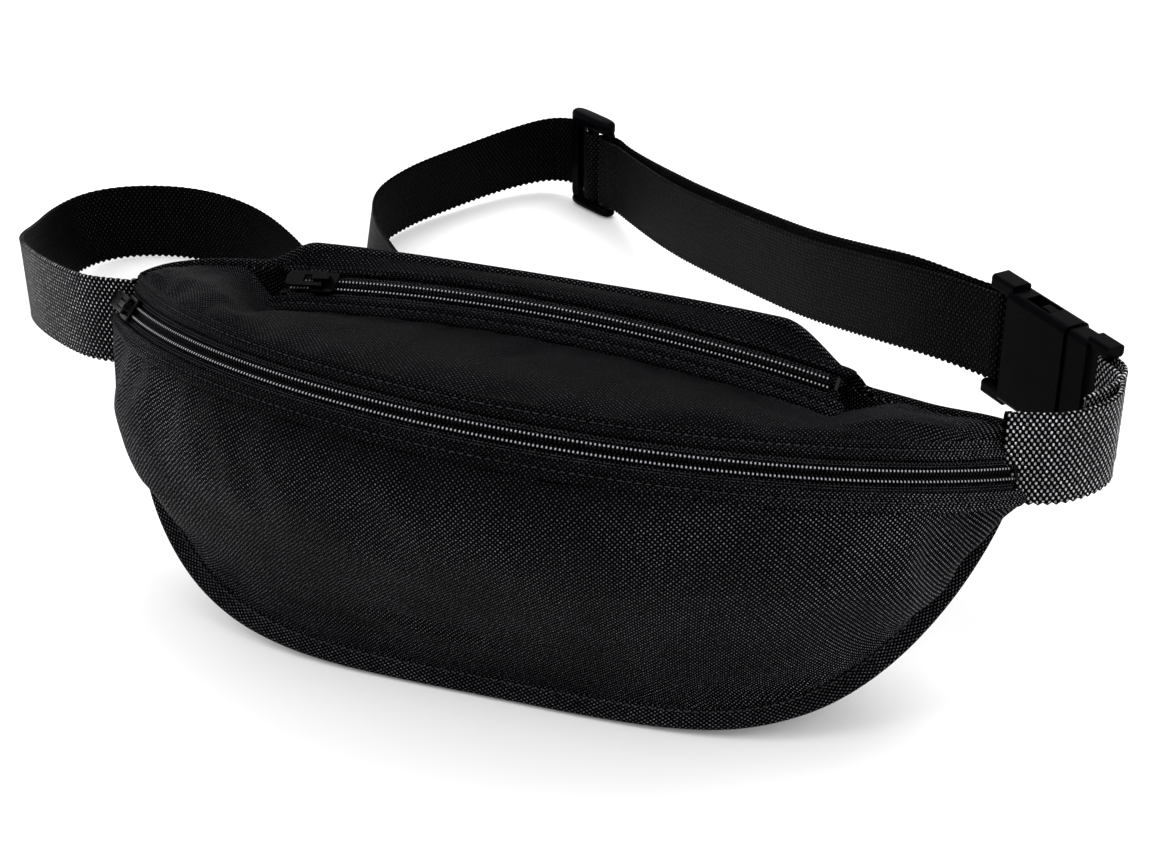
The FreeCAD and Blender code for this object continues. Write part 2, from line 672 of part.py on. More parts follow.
# ---- build --------------------------------------------------------------------------
def build():
    nodes = {}
    nodes["front_panel"] = panel(front_point, FABRIC)
    nodes["mid_panel"] = panel(mid_point, FABRIC, 33)
    floor_cut = Part.makeBox(400, 400, 20, Vector(-200, -200, -20))
    nodes["back_panel"] = panel(back_point, BACK_FABRIC, 33, 13).cut(floor_cut)
    nodes["back_strip"] = panel(strip_point, FABRIC, 37, 5)
    nodes["divider_panel"] = panel(divider_point, 0.8, 21, 7)
    nodes["seam_binding"] = binding()
    nodes["crest_binding"] = crest_binding()
    nodes.update(zip_pieces(front_zip, "front", "upper", "lower", TAPE_HALF, WELT_INNER))
    nodes.update(zip_pieces(rear_zip, "rear", "back", "front", REAR_REACH, REAR_WELT_INNER))
    nodes["front_zip_stops"] = zip_stops(front_zip)
    nodes["rear_zip_stops"] = zip_stops(rear_zip)
    nodes["front_slider"] = front_zip.placed(slider(), front_zip.low + PARK_FRONT)
    nodes["front_pull"] = front_zip.placed(pull(), front_zip.low + PARK_FRONT)
    nodes["rear_slider"] = rear_zip.placed(slider(), rear_zip.low + PARK_REAR)
    nodes["rear_pull"] = rear_zip.placed(pull(), rear_zip.low + PARK_REAR)
    nodes["long_strap"] = long_strap()
    nodes["short_strap"] = short_strap()
    nodes["left_strap_tack"] = strap_tack(-1.0)
    nodes["right_strap_tack"] = strap_tack(1.0)
    nodes["buckle_socket"] = buckle_socket()
    nodes["buckle_plug"] = buckle_plug()
    nodes["buckle_prong_upper"] = buckle_prong(1.0)
    nodes["buckle_prong_lower"] = buckle_prong(-1.0)
    nodes["tri_glide"] = tri_glide()
    return nodes


def main():
    os.makedirs("parts", exist_ok=True)
    for name, shape in build().items():
        shape.exportStep("parts/%s.step" % name)
        box = shape.BoundBox
        print("%-24s %9.1f mm3  x %7.1f %7.1f  y %7.1f %7.1f  z %7.2f %7.1f  %s" % (
            name, shape.Volume, box.XMin, box.XMax, box.YMin, box.YMax, box.ZMin, box.ZMax,
            shape.isValid()))


main()
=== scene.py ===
import math

import bmesh
import bpy
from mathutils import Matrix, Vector, noise


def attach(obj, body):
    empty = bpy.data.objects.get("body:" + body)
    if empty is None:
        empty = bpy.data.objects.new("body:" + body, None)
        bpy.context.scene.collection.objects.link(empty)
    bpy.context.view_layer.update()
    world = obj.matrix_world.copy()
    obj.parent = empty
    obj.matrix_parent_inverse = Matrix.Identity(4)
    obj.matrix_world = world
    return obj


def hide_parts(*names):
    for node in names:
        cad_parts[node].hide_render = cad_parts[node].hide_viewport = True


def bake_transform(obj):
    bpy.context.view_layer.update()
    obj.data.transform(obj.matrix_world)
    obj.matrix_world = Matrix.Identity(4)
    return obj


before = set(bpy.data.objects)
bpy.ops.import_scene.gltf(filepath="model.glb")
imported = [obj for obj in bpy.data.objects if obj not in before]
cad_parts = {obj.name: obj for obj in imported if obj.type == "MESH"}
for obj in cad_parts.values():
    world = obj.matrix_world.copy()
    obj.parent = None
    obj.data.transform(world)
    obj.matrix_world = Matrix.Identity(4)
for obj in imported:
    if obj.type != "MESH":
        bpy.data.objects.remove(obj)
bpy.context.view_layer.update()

bl_info = {
    "name": "Waist pack",
    "version": (1, 0, 0),
    "blender": (4, 5, 0),
    "location": "3D View > Sidebar > Waist pack",
    "description": "Builds the fabric, zips, belt and buckle of a waist pack around its CAD frame",
    "category": "Object",
}

MM = 0.001

# ---- lines shared with the frame, in millimetres --------------------------------------
HALF_WIDTH = 175.0
WEBBING = 38.0
WEBBING_THICK = 1.8
SEAM_Y = 41.5
SEAM_Z = 76.0
FRONT_Y = -29.0
SEAM_LIFT = 1.3
BOW_POWER = 4.3
RISE_POWER = 1.2
BINDING_WIDTH = 8.0
FRONT_ZIP = (Vector((-175, 42, 104)), Vector((0, -43, 124)), Vector((175, 42, 90)))
FRONT_ZIP_LEAN = 27.5
REAR_ZIP = (Vector((-112, 53, 115)), Vector((0, 46, 124)), Vector((110, 51, 108)))
TAPE_HALF = 11.0
CHAIN_SLOT = 0.9
PANEL_EDGE = 12.0
REAR_REACH = 8.6
CREST_Y = 70.0
CREST_Z = 125.4
CREST_FALL = 0.018
CREST_LEFT_Z = 118.5
CREST_RIGHT_Z = 103.5
REAR_END = 112.0
POCKET_END = 124.0
BUCKLE_AT = Vector((178, 113.5, 97))
BUCKLE_HEADING = math.radians(-44.0)
BAR_REACH = 30.0
GLIDE_AT = Vector((-97, 404, 26.5))
GLIDE_HEADING = math.radians(-32.0)
GLIDE_LENGTH = 31.0
GLIDE_BAR = 5.0
ROUND_FROM = 157.0        # the crest's left end is rounded off from here
ROUND_DROP = 8.0
LEFT_TUCK = 0.42          # how much narrower the front zip's lower edge is at its two ends
RIGHT_TUCK = 0.15
X_AXIS = Vector((1, 0, 0))
Y_AXIS = Vector((0, 1, 0))
Z_AXIS = Vector((0, 0, 1))


def mix(a, b, t):
    return a * (1.0 - t) + b * t


def smooth_step(value, low, high):
    t = min(1.0, max(0.0, (value - low) / (high - low)))
    return t * t * (3.0 - 2.0 * t)


def bezier(points, t):
    while len(points) > 1:
        points = [mix(points[i], points[i + 1], t) for i in range(len(points) - 1)]
    return points[0]


def circle_centre(a, b, c):
    """Centre of the circle through three points in space."""
    ab = b - a
    ac = c - a
    normal = ab.cross(ac)
    to_centre = normal.cross(ab) * ac.length_squared + ac.cross(normal) * ab.length_squared
    return a + to_centre / (2.0 * normal.length_squared)


class ZipArc:
    """A circular zip line, with the frame of its tape at any angle."""

    def __init__(self, ends, lean, up):
        self.centre = circle_centre(*ends)
        self.radius = (ends[0] - self.centre).length
        self.axis = (ends[1] - ends[0]).cross(ends[2] - ends[0]).normalized()
        if self.axis.dot(up) < 0:
            self.axis.negate()
        self.middle = (ends[1] - self.centre).normalized()
        self.along = self.axis.cross(self.middle)
        if self.along.dot(ends[2] - ends[0]) < 0:
            self.along.negate()
        self.lean = math.radians(lean)
        self.low = self.angle_of(ends[0])
        self.high = self.angle_of(ends[2])

    def angle_of(self, point):
        arm = point - self.centre
        return math.degrees(math.atan2(arm.dot(self.along), arm.dot(self.middle)))

    def frame(self, angle):
        turn = math.radians(angle)
        radial = self.middle * math.cos(turn) + self.along * math.sin(turn)
        tangent = self.along * math.cos(turn) - self.middle * math.sin(turn)
        normal = radial * math.cos(self.lean) + self.axis * math.sin(self.lean)
        across = self.axis * math.cos(self.lean) - radial * math.sin(self.lean)
        return self.centre + radial * self.radius, tangent, across, normal

    def at(self, angle, side, height):
        point, _, across, normal = self.frame(angle)
        return point + across * side + normal * height


front_zip = ZipArc(FRONT_ZIP, FRONT_ZIP_LEAN, Z_AXIS)
rear_zip = ZipArc(REAR_ZIP, 0.0, Y_AXIS)
SEAM_FACE = X_AXIS.cross(Vector((0, SEAM_Y - FRONT_Y, SEAM_Z - SEAM_LIFT)).normalized())


def outline(x):
    """The bound lower edge."""
    across = min(1.0, abs(x) / HALF_WIDTH)
    rise = 1.0 - (1.0 - across ** BOW_POWER) ** (1.0 / RISE_POWER)
    return Vector((x, FRONT_Y + (SEAM_Y - FRONT_Y) * rise, SEAM_LIFT + (SEAM_Z - SEAM_LIFT) * rise))


def inward(x):
    """In the seam's plane, from the bound edge towards the middle of the pack."""
    low = max(-HALF_WIDTH, x - 0.05)
    high = min(HALF_WIDTH, x + 0.05)
    return SEAM_FACE.cross((outline(high) - outline(low)).normalized()).normalized()


def seam_line(x, inset=BINDING_WIDTH):
    return outline(x) + inward(x) * inset


def crest(x):
    """The top rear seam. It drops beyond both ends of the rear zip."""
    across = min(1.0, abs(x) / HALF_WIDTH)
    y = SEAM_Y + 4.0 + (CREST_Y - SEAM_Y - 4.0) * (1.0 - across ** (3.4 if x < 0 else 2.6))
    left = CREST_LEFT_Z - 3.0 * smooth_step(-x, 140.0, HALF_WIDTH)
    right = CREST_RIGHT_Z + 3.0 * smooth_step(x, 140.0, 172.0)
    z = left + (CREST_Z - CREST_FALL * x - left) * smooth_step(x, -124.0, -102.0)
    z += (right - z) * smooth_step(x, 84.0, 120.0)
    past = min(1.0, max(0.0, -x - ROUND_FROM) / (HALF_WIDTH - ROUND_FROM))
    z -= ROUND_DROP * (1.0 - math.sqrt(1.0 - 0.98 * past * past))
    return Vector((x, y, z))


def on_zip_by_x(arc, x, side):
    low = arc.low - 2.0
    high = arc.high + 2.0
    for _ in range(30):
        middle = (low + high) / 2.0
        if arc.at(middle, side, 0).x < x:
            low = middle
        else:
            high = middle
    return arc.at(low, side, 0)


def beside_rear_zip(x, side):
    point = on_zip_by_x(rear_zip, max(-REAR_END, min(REAR_END - 2.0, x)), side)
    return Vector((x, point.y, point.z))


def mid_rear_edge(x):
    seam = crest(x) - Vector((0, 0.9, 0))
    return mix(beside_rear_zip(x, -PANEL_EDGE), seam, smooth_step(abs(x), 105.0, 137.0))


def strip_front_edge(x):
    seam = crest(x) - Vector((0, 2.0, 0))
    share = smooth_step(abs(x), REAR_END, POCKET_END - 2.0)
    return mix(beside_rear_zip(x, REAR_REACH + 1.4), seam, share)


def spread(x, arc, side, half_width):
    end = arc.at(arc.low if x < 0 else arc.high, side, 0.6).x
    return half_width * x / abs(end)


# ---- fabric surfaces: u runs from left to right, v down the piece ----------------------
def tuck(angle):
    """How much narrower the front zip's lower edge is folded towards its ends."""
    left = 1.0 - smooth_step(angle, front_zip.low, front_zip.low + 11.0)
    right = smooth_step(angle, front_zip.high - 8.0, front_zip.high)
    return 1.0 - LEFT_TUCK * left - RIGHT_TUCK * right


def front_angle(u):
    return front_zip.low + (front_zip.high - front_zip.low) * u


def under_front(u):
    return spread(front_zip.at(front_angle(u), -PANEL_EDGE, 0.6).x, front_zip, -PANEL_EDGE,
                  HALF_WIDTH - 0.4)


def behind_front(u):
    return spread(front_zip.at(front_angle(u), PANEL_EDGE, 0.6).x, front_zip, PANEL_EDGE,
                  HALF_WIDTH - 1.0)


def front_point(u, v):
    angle = front_angle(u)
    top = front_zip.at(angle, -PANEL_EDGE * tuck(angle), 0.6)
    down = front_zip.frame(angle)[2] * -1.0
    x = under_front(u)
    foot = seam_line(x)
    reach = (top - foot).length
    end = smooth_step(abs(x), 105.0, 168.0)
    out = (inward(x) * (0.62 - 0.95 * end) + SEAM_FACE * 0.78).normalized()
    full = reach * 0.36 + 6.5 * end
    return bezier([top, top + down * (reach * 0.34), foot + out * full, foot], v)


def mid_point(u, v):
    angle = front_angle(u)
    front = front_zip.at(angle, PANEL_EDGE, 0.6)
    rear = mid_rear_edge(behind_front(u))
    reach = (rear - front).length
    away = front_zip.frame(angle)[2]
    rise = front + (away + Vector((0, 0.6, 0))).normalized() * (reach * 0.33)
    flat = rear + Vector((0, -0.96, 0.10)) * (reach * 0.33)
    return bezier([front, rise, flat, rear], 1.0 - v)


def back_point(u, v):
    x = (HALF_WIDTH - 1.5) * math.sin(math.radians(-90.0 + 180.0 * u))
    foot = seam_line(x) - SEAM_FACE * 1.4
    top = crest(x)
    middle = 1.0 - (abs(x) / HALF_WIDTH) ** 2.4
    low_rear = foot + Vector((0, 52.0 * middle, -40.0 * middle))
    high_rear = top + Vector((0, 17.0 * middle + 2.0, -46.0 * middle - 8.0))
    point = bezier([foot, low_rear, high_rear, top], v)
    return Vector((point.x, point.y, max(0.0, point.z)))


def strip_point(u, v):
    x = (POCKET_END - 3.0) * (2.0 * u - 1.0)
    front = strip_front_edge(x)
    rear = crest(x) - Vector((0, 0.9, 0))
    reach = (rear - front).length
    return bezier([rear, mix(front, rear, 0.6) + Z_AXIS * (reach * 0.24), front], v)


# ---- webbing routes -------------------------------------------------------------------
LEFT_ROUTE = [(-176.6, 42, 76), (-193, 42, 75), (-212, 54, 71), (-238, 76, 64), (-264, 108, 52),
              (-288, 152, 33), (-309, 196, 14), (-322, 236, 3.5), (-318, 262, 1), (-298, 277, 0.1),
              (-270, 281, 0.1), (-237, 270, 0.1), (-205, 244, 0.1), (-176, 212, 0.1),
              (-148, 190, 0.1), (-124, 194, 0.1), (-124, 220, 0.1), (-150, 246, 0.1),
              (-178, 278, 0.1), (-192, 312, 0.1), (-186, 346, 0.6), (-170, 376, 1.5),
              (-152, 402, 3.5), (-132, 420, 5.5)]
LEFT_LEAN = 6.0
DOUBLE_ROUTE = [(-66, 376, 9), (-30, 327, 19), (2, 289, 29), (34, 251, 40),
                (62, 218, 50), (88, 191, 60), (114, 165, 70), (134, 149, 75.5), (150, 139, 77)]
LAYER_HALF = 2.3
LAYER_RISE = 3.0
WRAP_RADIUS = 2.9
WEAVE = 3.35


def smooth_route(points, steps=6):
    out = [points[0]]
    last = len(points) - 2
    for i in range(1, len(points) - 1):
        start = points[0] if i == 1 else mix(points[i - 1], points[i], 0.5)
        end = points[-1] if i == last else mix(points[i], points[i + 1], 0.5)
        for k in range(1, steps + 1):
            out.append(bezier([start, points[i], end], k / float(steps)))
    return out


def in_frame(centre, heading, along, side, z):
    x = centre.x + along * math.cos(heading) - side * math.sin(heading)
    y = centre.y + along * math.sin(heading) + side * math.cos(heading)
    return Vector((x, y, z))


def in_buckle(along, side, z=SEAM_Z + 2.0):
    return in_frame(BUCKLE_AT, BUCKLE_HEADING, along, side, z)


def in_glide(along, side):
    return in_frame(GLIDE_AT, GLIDE_HEADING, along, side, GLIDE_AT.z - WEBBING / 2.0)


def bar_wrap(along, towards, first_side):
    points = []
    for k in range(7):
        angle = math.radians(-90.0 + 30.0 * k)
        points.append(in_buckle(along + towards * WRAP_RADIUS * math.cos(angle),
                                -first_side * WRAP_RADIUS * math.sin(angle)))
    return points


def plan_side(points, i):
    ahead = points[min(len(points) - 1, i + 1)] - points[max(0, i - 1)]
    return Vector((-ahead.y, ahead.x, 0)).normalized()


def side_shift(points, amount, lift):
    out = []
    count = len(points)
    for i, here in enumerate(points):
        rise = lift * smooth_step(i, 0, 10) * (1.0 - smooth_step(i, count - 12, count - 1))
        out.append(here + plan_side(points, i) * amount + Z_AXIS * rise)
    return out


def adjuster_weave():
    points = []
    slot_end = GLIDE_LENGTH / 2.0 - GLIDE_BAR
    for k in range(-9, 10):
        swing = smooth_step(abs(2.0 * k), GLIDE_BAR / 2.0, slot_end)
        points.append(in_glide(2.0 * k, WEAVE * (2.0 * swing - 1.0)))
    return points


def long_strap_routes():
    """The single length up to the adjuster's middle bar, then the doubled length."""
    left = [Vector((-171, 42.6, 76))] + [Vector(p) for p in LEFT_ROUTE]
    left += [in_glide(-24, WEAVE), in_glide(-19, WEAVE)]
    left = smooth_route(left)
    middle = smooth_route([in_glide(19, 0)] + [Vector(p) for p in DOUBLE_ROUTE])
    far = side_shift(middle, LAYER_HALF, LAYER_RISE)
    near = side_shift(middle, -LAYER_HALF, 0.0)
    near.reverse()
    weave = adjuster_weave()
    end = [in_glide(14, -WEAVE), in_glide(9, -WEAVE)]
    single = left + weave[:10]
    double = weave[9:] + far[1:-1] + bar_wrap(-BAR_REACH, 1.0, 1.0) + near[1:-1] + end
    leans = []
    for i in range(len(single)):
        share = (i - 6) / float(len(left) - 6)
        turn = 1.0 - 2.0 * smooth_step(share, 0.52, 0.76)
        fall = 1.0 - smooth_step(share, 0.86, 1.0)
        leans.append(LEFT_LEAN * smooth_step(share, 0.10, 0.32) * turn * fall)
    return single, leans, double


def short_strap_route():
    run = smooth_route([Vector((171, 42.4, SEAM_Z + 1.0)), Vector((188, 44, SEAM_Z + 1.5)),
                        Vector((200, 53, SEAM_Z + 2.0)), Vector((208, 66, SEAM_Z + 2.0)),
                        in_buckle(45.0, -5.0), in_buckle(38.0, -3.2),
                        in_buckle(33.0, -WRAP_RADIUS)], 5)
    tail = smooth_route([in_buckle(33.0, WRAP_RADIUS), in_buckle(37.0, 2.6), in_buckle(43.0, -1.5),
                         in_buckle(48.0, -13.0), in_buckle(50.0, -26.0)], 4)
    return run + bar_wrap(BAR_REACH, -1.0, -1.0) + tail


# ---- meshes ---------------------------------------------------------------------------
def add_object(name, mesh):
    obj = bpy.data.objects.new(name, mesh)
    bpy.context.scene.collection.objects.link(obj)
    return obj


def mesh_from(name, points, faces, face_uvs=None):
    """A mesh from points in millimetres. face_uvs holds thread positions in millimetres."""
    mesh = bpy.data.meshes.new(name)
    mesh.from_pydata([p * MM for p in points], [], faces)
    if face_uvs:
        layer = mesh.uv_layers.new(name="thread")
        flat = [c for face in face_uvs for uv in face for c in uv]
        layer.data.foreach_set("uv", flat)
    mesh.polygons.foreach_set("use_smooth", [True] * len(mesh.polygons))
    mesh.update()
    return mesh


def run_lengths(points):
    total = [0.0]
    for a, b in zip(points, points[1:]):
        total.append(total[-1] + (b - a).length)
    return total


def sheet_mesh(name, grid):
    """An open sheet of quads; its faces look along (down the columns) x (along the rows)."""
    rows = len(grid)
    columns = len(grid[0])
    points = [p for row in grid for p in row]
    middle = columns // 2
    along = run_lengths([row[middle] for row in grid])
    down = []
    for row in grid:
        lengths = run_lengths(row)
        down.append([length - lengths[middle] for length in lengths])
    faces = []
    uvs = []
    for i in range(rows - 1):
        for j in range(columns - 1):
            corner = [(i, j), (i, j + 1), (i + 1, j + 1), (i + 1, j)]
            faces.append([a * columns + b for a, b in corner])
            uvs.append([(along[a], down[a][b]) for a, b in corner])
    return mesh_from(name, points, faces, uvs)


def swept_mesh(name, loops, around=None, capped=True):
    """A closed tube through loops of points. around gives the thread position of each corner."""
    count = len(loops[0])
    points = [p for loop in loops for p in loop]
    along = run_lengths([loop[0] for loop in loops])
    if around is None:
        around = run_lengths(loops[len(loops) // 2] + [loops[len(loops) // 2][0]])
    faces = []
    uvs = []
    for i in range(len(loops) - 1):
        for j in range(count):
            k = (j + 1) % count
            faces.append([i * count + j, i * count + k, (i + 1) * count + k, (i + 1) * count + j])
            uvs.append([(along[i], around[j]), (along[i], around[j + 1]),
                        (along[i + 1], around[j + 1]), (along[i + 1], around[j])])
    if capped:
        last = (len(loops) - 1) * count
        faces.append(list(reversed(range(count))))
        uvs.append([(along[0], around[j]) for j in reversed(range(count))])
        faces.append([last + j for j in range(count)])
        uvs.append([(along[-1], around[j]) for j in range(count)])
    mesh = mesh_from(name, points, faces, uvs)
    face_out(mesh)
    return mesh


def face_out(mesh):
    work = bmesh.new()
    work.from_mesh(mesh)
    bmesh.ops.recalc_face_normals(work, faces=work.faces)
    work.to_mesh(mesh)
    work.free()


def settle(obj):
    """Replace an object's mesh with its evaluated one and drop its modifiers."""
    graph = bpy.context.evaluated_depsgraph_get()
    graph.update()
    mesh = bpy.data.meshes.new_from_object(obj.evaluated_get(graph))
    obj.modifiers.clear()
    old = obj.data
    obj.data = mesh
    bpy.data.meshes.remove(old)
    obj.data.name = obj.name
    return obj


def add_modifier(obj, kind, **settings):
    modifier = obj.modifiers.new(kind.lower(), kind)
    for key, value in settings.items():
        setattr(modifier, key, value)
    return modifier


def dress(obj, material):
    obj.data.materials.clear()
    obj.data.materials.append(material)
    return obj


# ---- materials ------------------------------------------------------------------------
def linear(code):
    """An sRGB hex colour as linear RGBA."""
    values = [int(code[i:i + 2], 16) / 255.0 for i in (1, 3, 5)]
    return [v / 12.92 if v <= 0.04045 else ((v + 0.055) / 1.055) ** 2.4 for v in values] + [1.0]


MATHS = "ShaderNodeMath"
NOISE = "ShaderNodeTexNoise"
RAMP = "ShaderNodeMapRange"
COLOURS = {"data_type": "RGBA"}
SMOOTH = {"interpolation_type": "SMOOTHSTEP"}
TIMES, PLUS, LESS, SIZE, WAVE = [{"operation": word} for word in
                                 ("MULTIPLY", "ADD", "SUBTRACT", "ABSOLUTE", "SINE")]


def add_node(tree, kind, settings=None, *ordered, **named):
    """Add a node. Values or links fill its sockets in order, by name, or by number as n6.

    A node given as a value stands for its first output.
    """
    node = tree.nodes.new(kind)
    for key, value in (settings or {}).items():
        setattr(node, key, value)
    given = list(enumerate(ordered))
    for key, value in named.items():
        number = key[0] == "n" and key[1:].isdigit()
        given.append((int(key[1:]) if number else key.replace("_", " "), value))
    for place, value in given:
        if isinstance(value, bpy.types.Node):
            value = value.outputs[0]
        if isinstance(value, bpy.types.NodeSocket):
            tree.links.new(value, node.inputs[place])
        else:
            node.inputs[place].default_value = value
    return node


def new_material(name):
    material = bpy.data.materials.new(name)
    material.use_nodes = True
    tree = material.node_tree
    tree.nodes.clear()
    shader = add_node(tree, "ShaderNodeBsdfPrincipled")
    add_node(tree, "ShaderNodeOutputMaterial", Surface=shader.outputs[0])
    return material, tree, shader


def thread_axes(tree):
    """Thread position along and across a piece, in millimetres."""
    uv = add_node(tree, "ShaderNodeUVMap", {"uv_map": "thread"}).outputs[0]
    split = add_node(tree, "ShaderNodeSeparateXYZ", None, uv)
    return uv, split.outputs[0], split.outputs[1]


def crossing(tree, along, across, pitch):
    """+1 on the crossings where one set of threads is on top, -1 where the other is."""
    waves = []
    for value, spacing in ((along, pitch[0]), (across, pitch[1])):
        turns = add_node(tree, MATHS, TIMES, value, math.pi / spacing)
        waves.append(add_node(tree, MATHS, WAVE, turns))
    return add_node(tree, MATHS, TIMES, *waves)


def woven_material(name, dark, light, pitch, roughness, relief, gloss, uneven, sharp=(0.3, 0.95),
                   lit_ends_shaded_top=None, shade_along=None):
    """Cloth whose dots are painted highlights on the tops of its threads. pitch is the thread
    spacing in millimetres.

    The option for the pack's ends and upper side is painted light: painted highlight makes the tops
    paler round its two ends, and painted shade makes them duller on its upper side.
    The option for lengths along the piece is (start, end, share): painted shade that dulls the tops
    to that share between two lengths along the piece.
    """
    material, tree, shader = new_material(name)
    uv, along, across = thread_axes(tree)
    wobble = add_node(tree, NOISE, None, Vector=uv, Scale=0.35, Detail=2.0)
    drift = add_node(tree, MATHS, TIMES, add_node(tree, MATHS, LESS, wobble, 0.5), uneven)
    top = crossing(tree, add_node(tree, MATHS, PLUS, along, drift),
                   add_node(tree, MATHS, PLUS, across, drift), pitch)
    dots = add_node(tree, RAMP, SMOOTH, top, sharp[0], sharp[1], 0.0, 1.0)
    fleck = add_node(tree, NOISE, None, Vector=uv, Scale=0.8 / pitch[0], Detail=3.0, Roughness=0.7)
    patchy = add_node(tree, RAMP, SMOOTH, fleck, 0.36, 0.72, 0.12, 1.0)
    painted_top_highlight = add_node(tree, MATHS, TIMES, dots, patchy)
    cloud = add_node(tree, NOISE, None, Vector=uv, Scale=0.03, Detail=3.0)
    # Shares of the painted highlight: a random cloud, then any painted light on the pack's ends and
    # upper side and any painted shade along the piece.
    highlight_shares = [add_node(tree, RAMP, SMOOTH, cloud, 0.35, 0.7, 0.7, 1.15)]
    # Painted highlight round the two ends of the pack and painted shade on its upper side.
    if lit_ends_shaded_top:
        place = add_node(tree, "ShaderNodeTexCoord").outputs["Object"]
        x, _, z = add_node(tree, "ShaderNodeSeparateXYZ", None, place).outputs
        out = add_node(tree, MATHS, SIZE, x)
        highlight_shares.append(add_node(tree, RAMP, SMOOTH, out, 0.07, 0.168, lit_ends_shaded_top[0], lit_ends_shaded_top[1]))
        highlight_shares.append(add_node(tree, RAMP, SMOOTH, z, 0.098, 0.116, 1.0, lit_ends_shaded_top[2]))
    if shade_along:
        highlight_shares.append(add_node(tree, RAMP, SMOOTH, along, shade_along[0], shade_along[1], 1.0, shade_along[2]))
    highlight_strength = highlight_shares[0]
    for share in highlight_shares[1:]:
        highlight_strength = add_node(tree, MATHS, TIMES, highlight_strength, share)
    amount = add_node(tree, MATHS, TIMES, painted_top_highlight, highlight_strength)
    # Base colour: the dark ground, with painted highlights mixed in on the thread tops.
    colour = add_node(tree, "ShaderNodeMix", COLOURS, amount, n6=linear(dark), n7=linear(light))
    tree.links.new(colour.outputs[2], shader.inputs["Base Color"])
    height = add_node(tree, MATHS, PLUS, add_node(tree, MATHS, SIZE, top),
                      add_node(tree, MATHS, TIMES, painted_top_highlight, 0.6))
    bump = add_node(tree, "ShaderNodeBump", None, Strength=relief, Distance=pitch[0] * 0.35 * MM,
                    Height=height)
    tree.links.new(bump.outputs[0], shader.inputs["Normal"])
    rough = add_node(tree, RAMP, SMOOTH, painted_top_highlight, 0.0, 1.0, roughness, roughness - 0.2)
    tree.links.new(rough.outputs[0], shader.inputs["Roughness"])
    shader.inputs["Specular IOR Level"].default_value = gloss
    return material


def moulded_material(name, colour, roughness, grain, relief, gloss):
    """Injection-moulded plastic: fine spark-eroded grain, shallow flow marks and scuffed patches.
    """
    material, tree, shader = new_material(name)
    place = add_node(tree, "ShaderNodeTexCoord").outputs["Object"]
    fine = add_node(tree, NOISE, None, Vector=place, Scale=1000.0 / grain, Detail=2.0)
    flow = add_node(tree, NOISE, None, Vector=place, Scale=90.0, Detail=4.0, Distortion=0.6)
    rough = add_node(tree, RAMP, None, flow, 0.3, 0.7, roughness - 0.08, roughness + 0.1)
    tree.links.new(rough.outputs[0], shader.inputs["Roughness"])
    tone = add_node(tree, "ShaderNodeMix", COLOURS, flow, n6=linear(colour[0]),
                    n7=linear(colour[1]))
    tree.links.new(tone.outputs[2], shader.inputs["Base Color"])
    bump = add_node(tree, "ShaderNodeBump", None, Strength=relief, Distance=0.00005, Height=fine)
    tree.links.new(bump.outputs[0], shader.inputs["Normal"])
    shader.inputs["Specular IOR Level"].default_value = gloss
    return material


# Where the painted highlight on a coil loop is strongest: its place round and along one loop, in
# thousandths of a millimetre.
LOOP_TOP = 720.0
LOOP_BEND = 2350.0


def coil_material():
    """Nylon monofilament: each loop is dark, with a painted highlight on its top where it turns
    down.
    """
    material, tree, shader = new_material("nylon coil, drawn monofilament")
    _, along, around = thread_axes(tree)
    shares = []
    for value, middle, near, far in ((around, LOOP_TOP, 140.0, 460.0),
                                     (along, LOOP_BEND, 180.0, 560.0)):
        away = add_node(tree, MATHS, SIZE, add_node(tree, MATHS, LESS, value, middle))
        shares.append(add_node(tree, RAMP, SMOOTH, away, near, far, 1.0, 0.0))
    loop_highlight = add_node(tree, MATHS, TIMES, *shares)
    # Base colour: dark nylon with the painted highlight mixed in.
    colour = add_node(tree, "ShaderNodeMix", COLOURS, loop_highlight, n6=linear("#020203"),
                      n7=linear("#94949a"))
    tree.links.new(colour.outputs[2], shader.inputs["Base Color"])
    shader.inputs["Roughness"].default_value = 0.3
    shader.inputs["Specular IOR Level"].default_value = 0.05
    return material


BEFORE_START = (-9000.0, -8999.0)     # painted shade that ends before the piece starts, so it dulls all of it


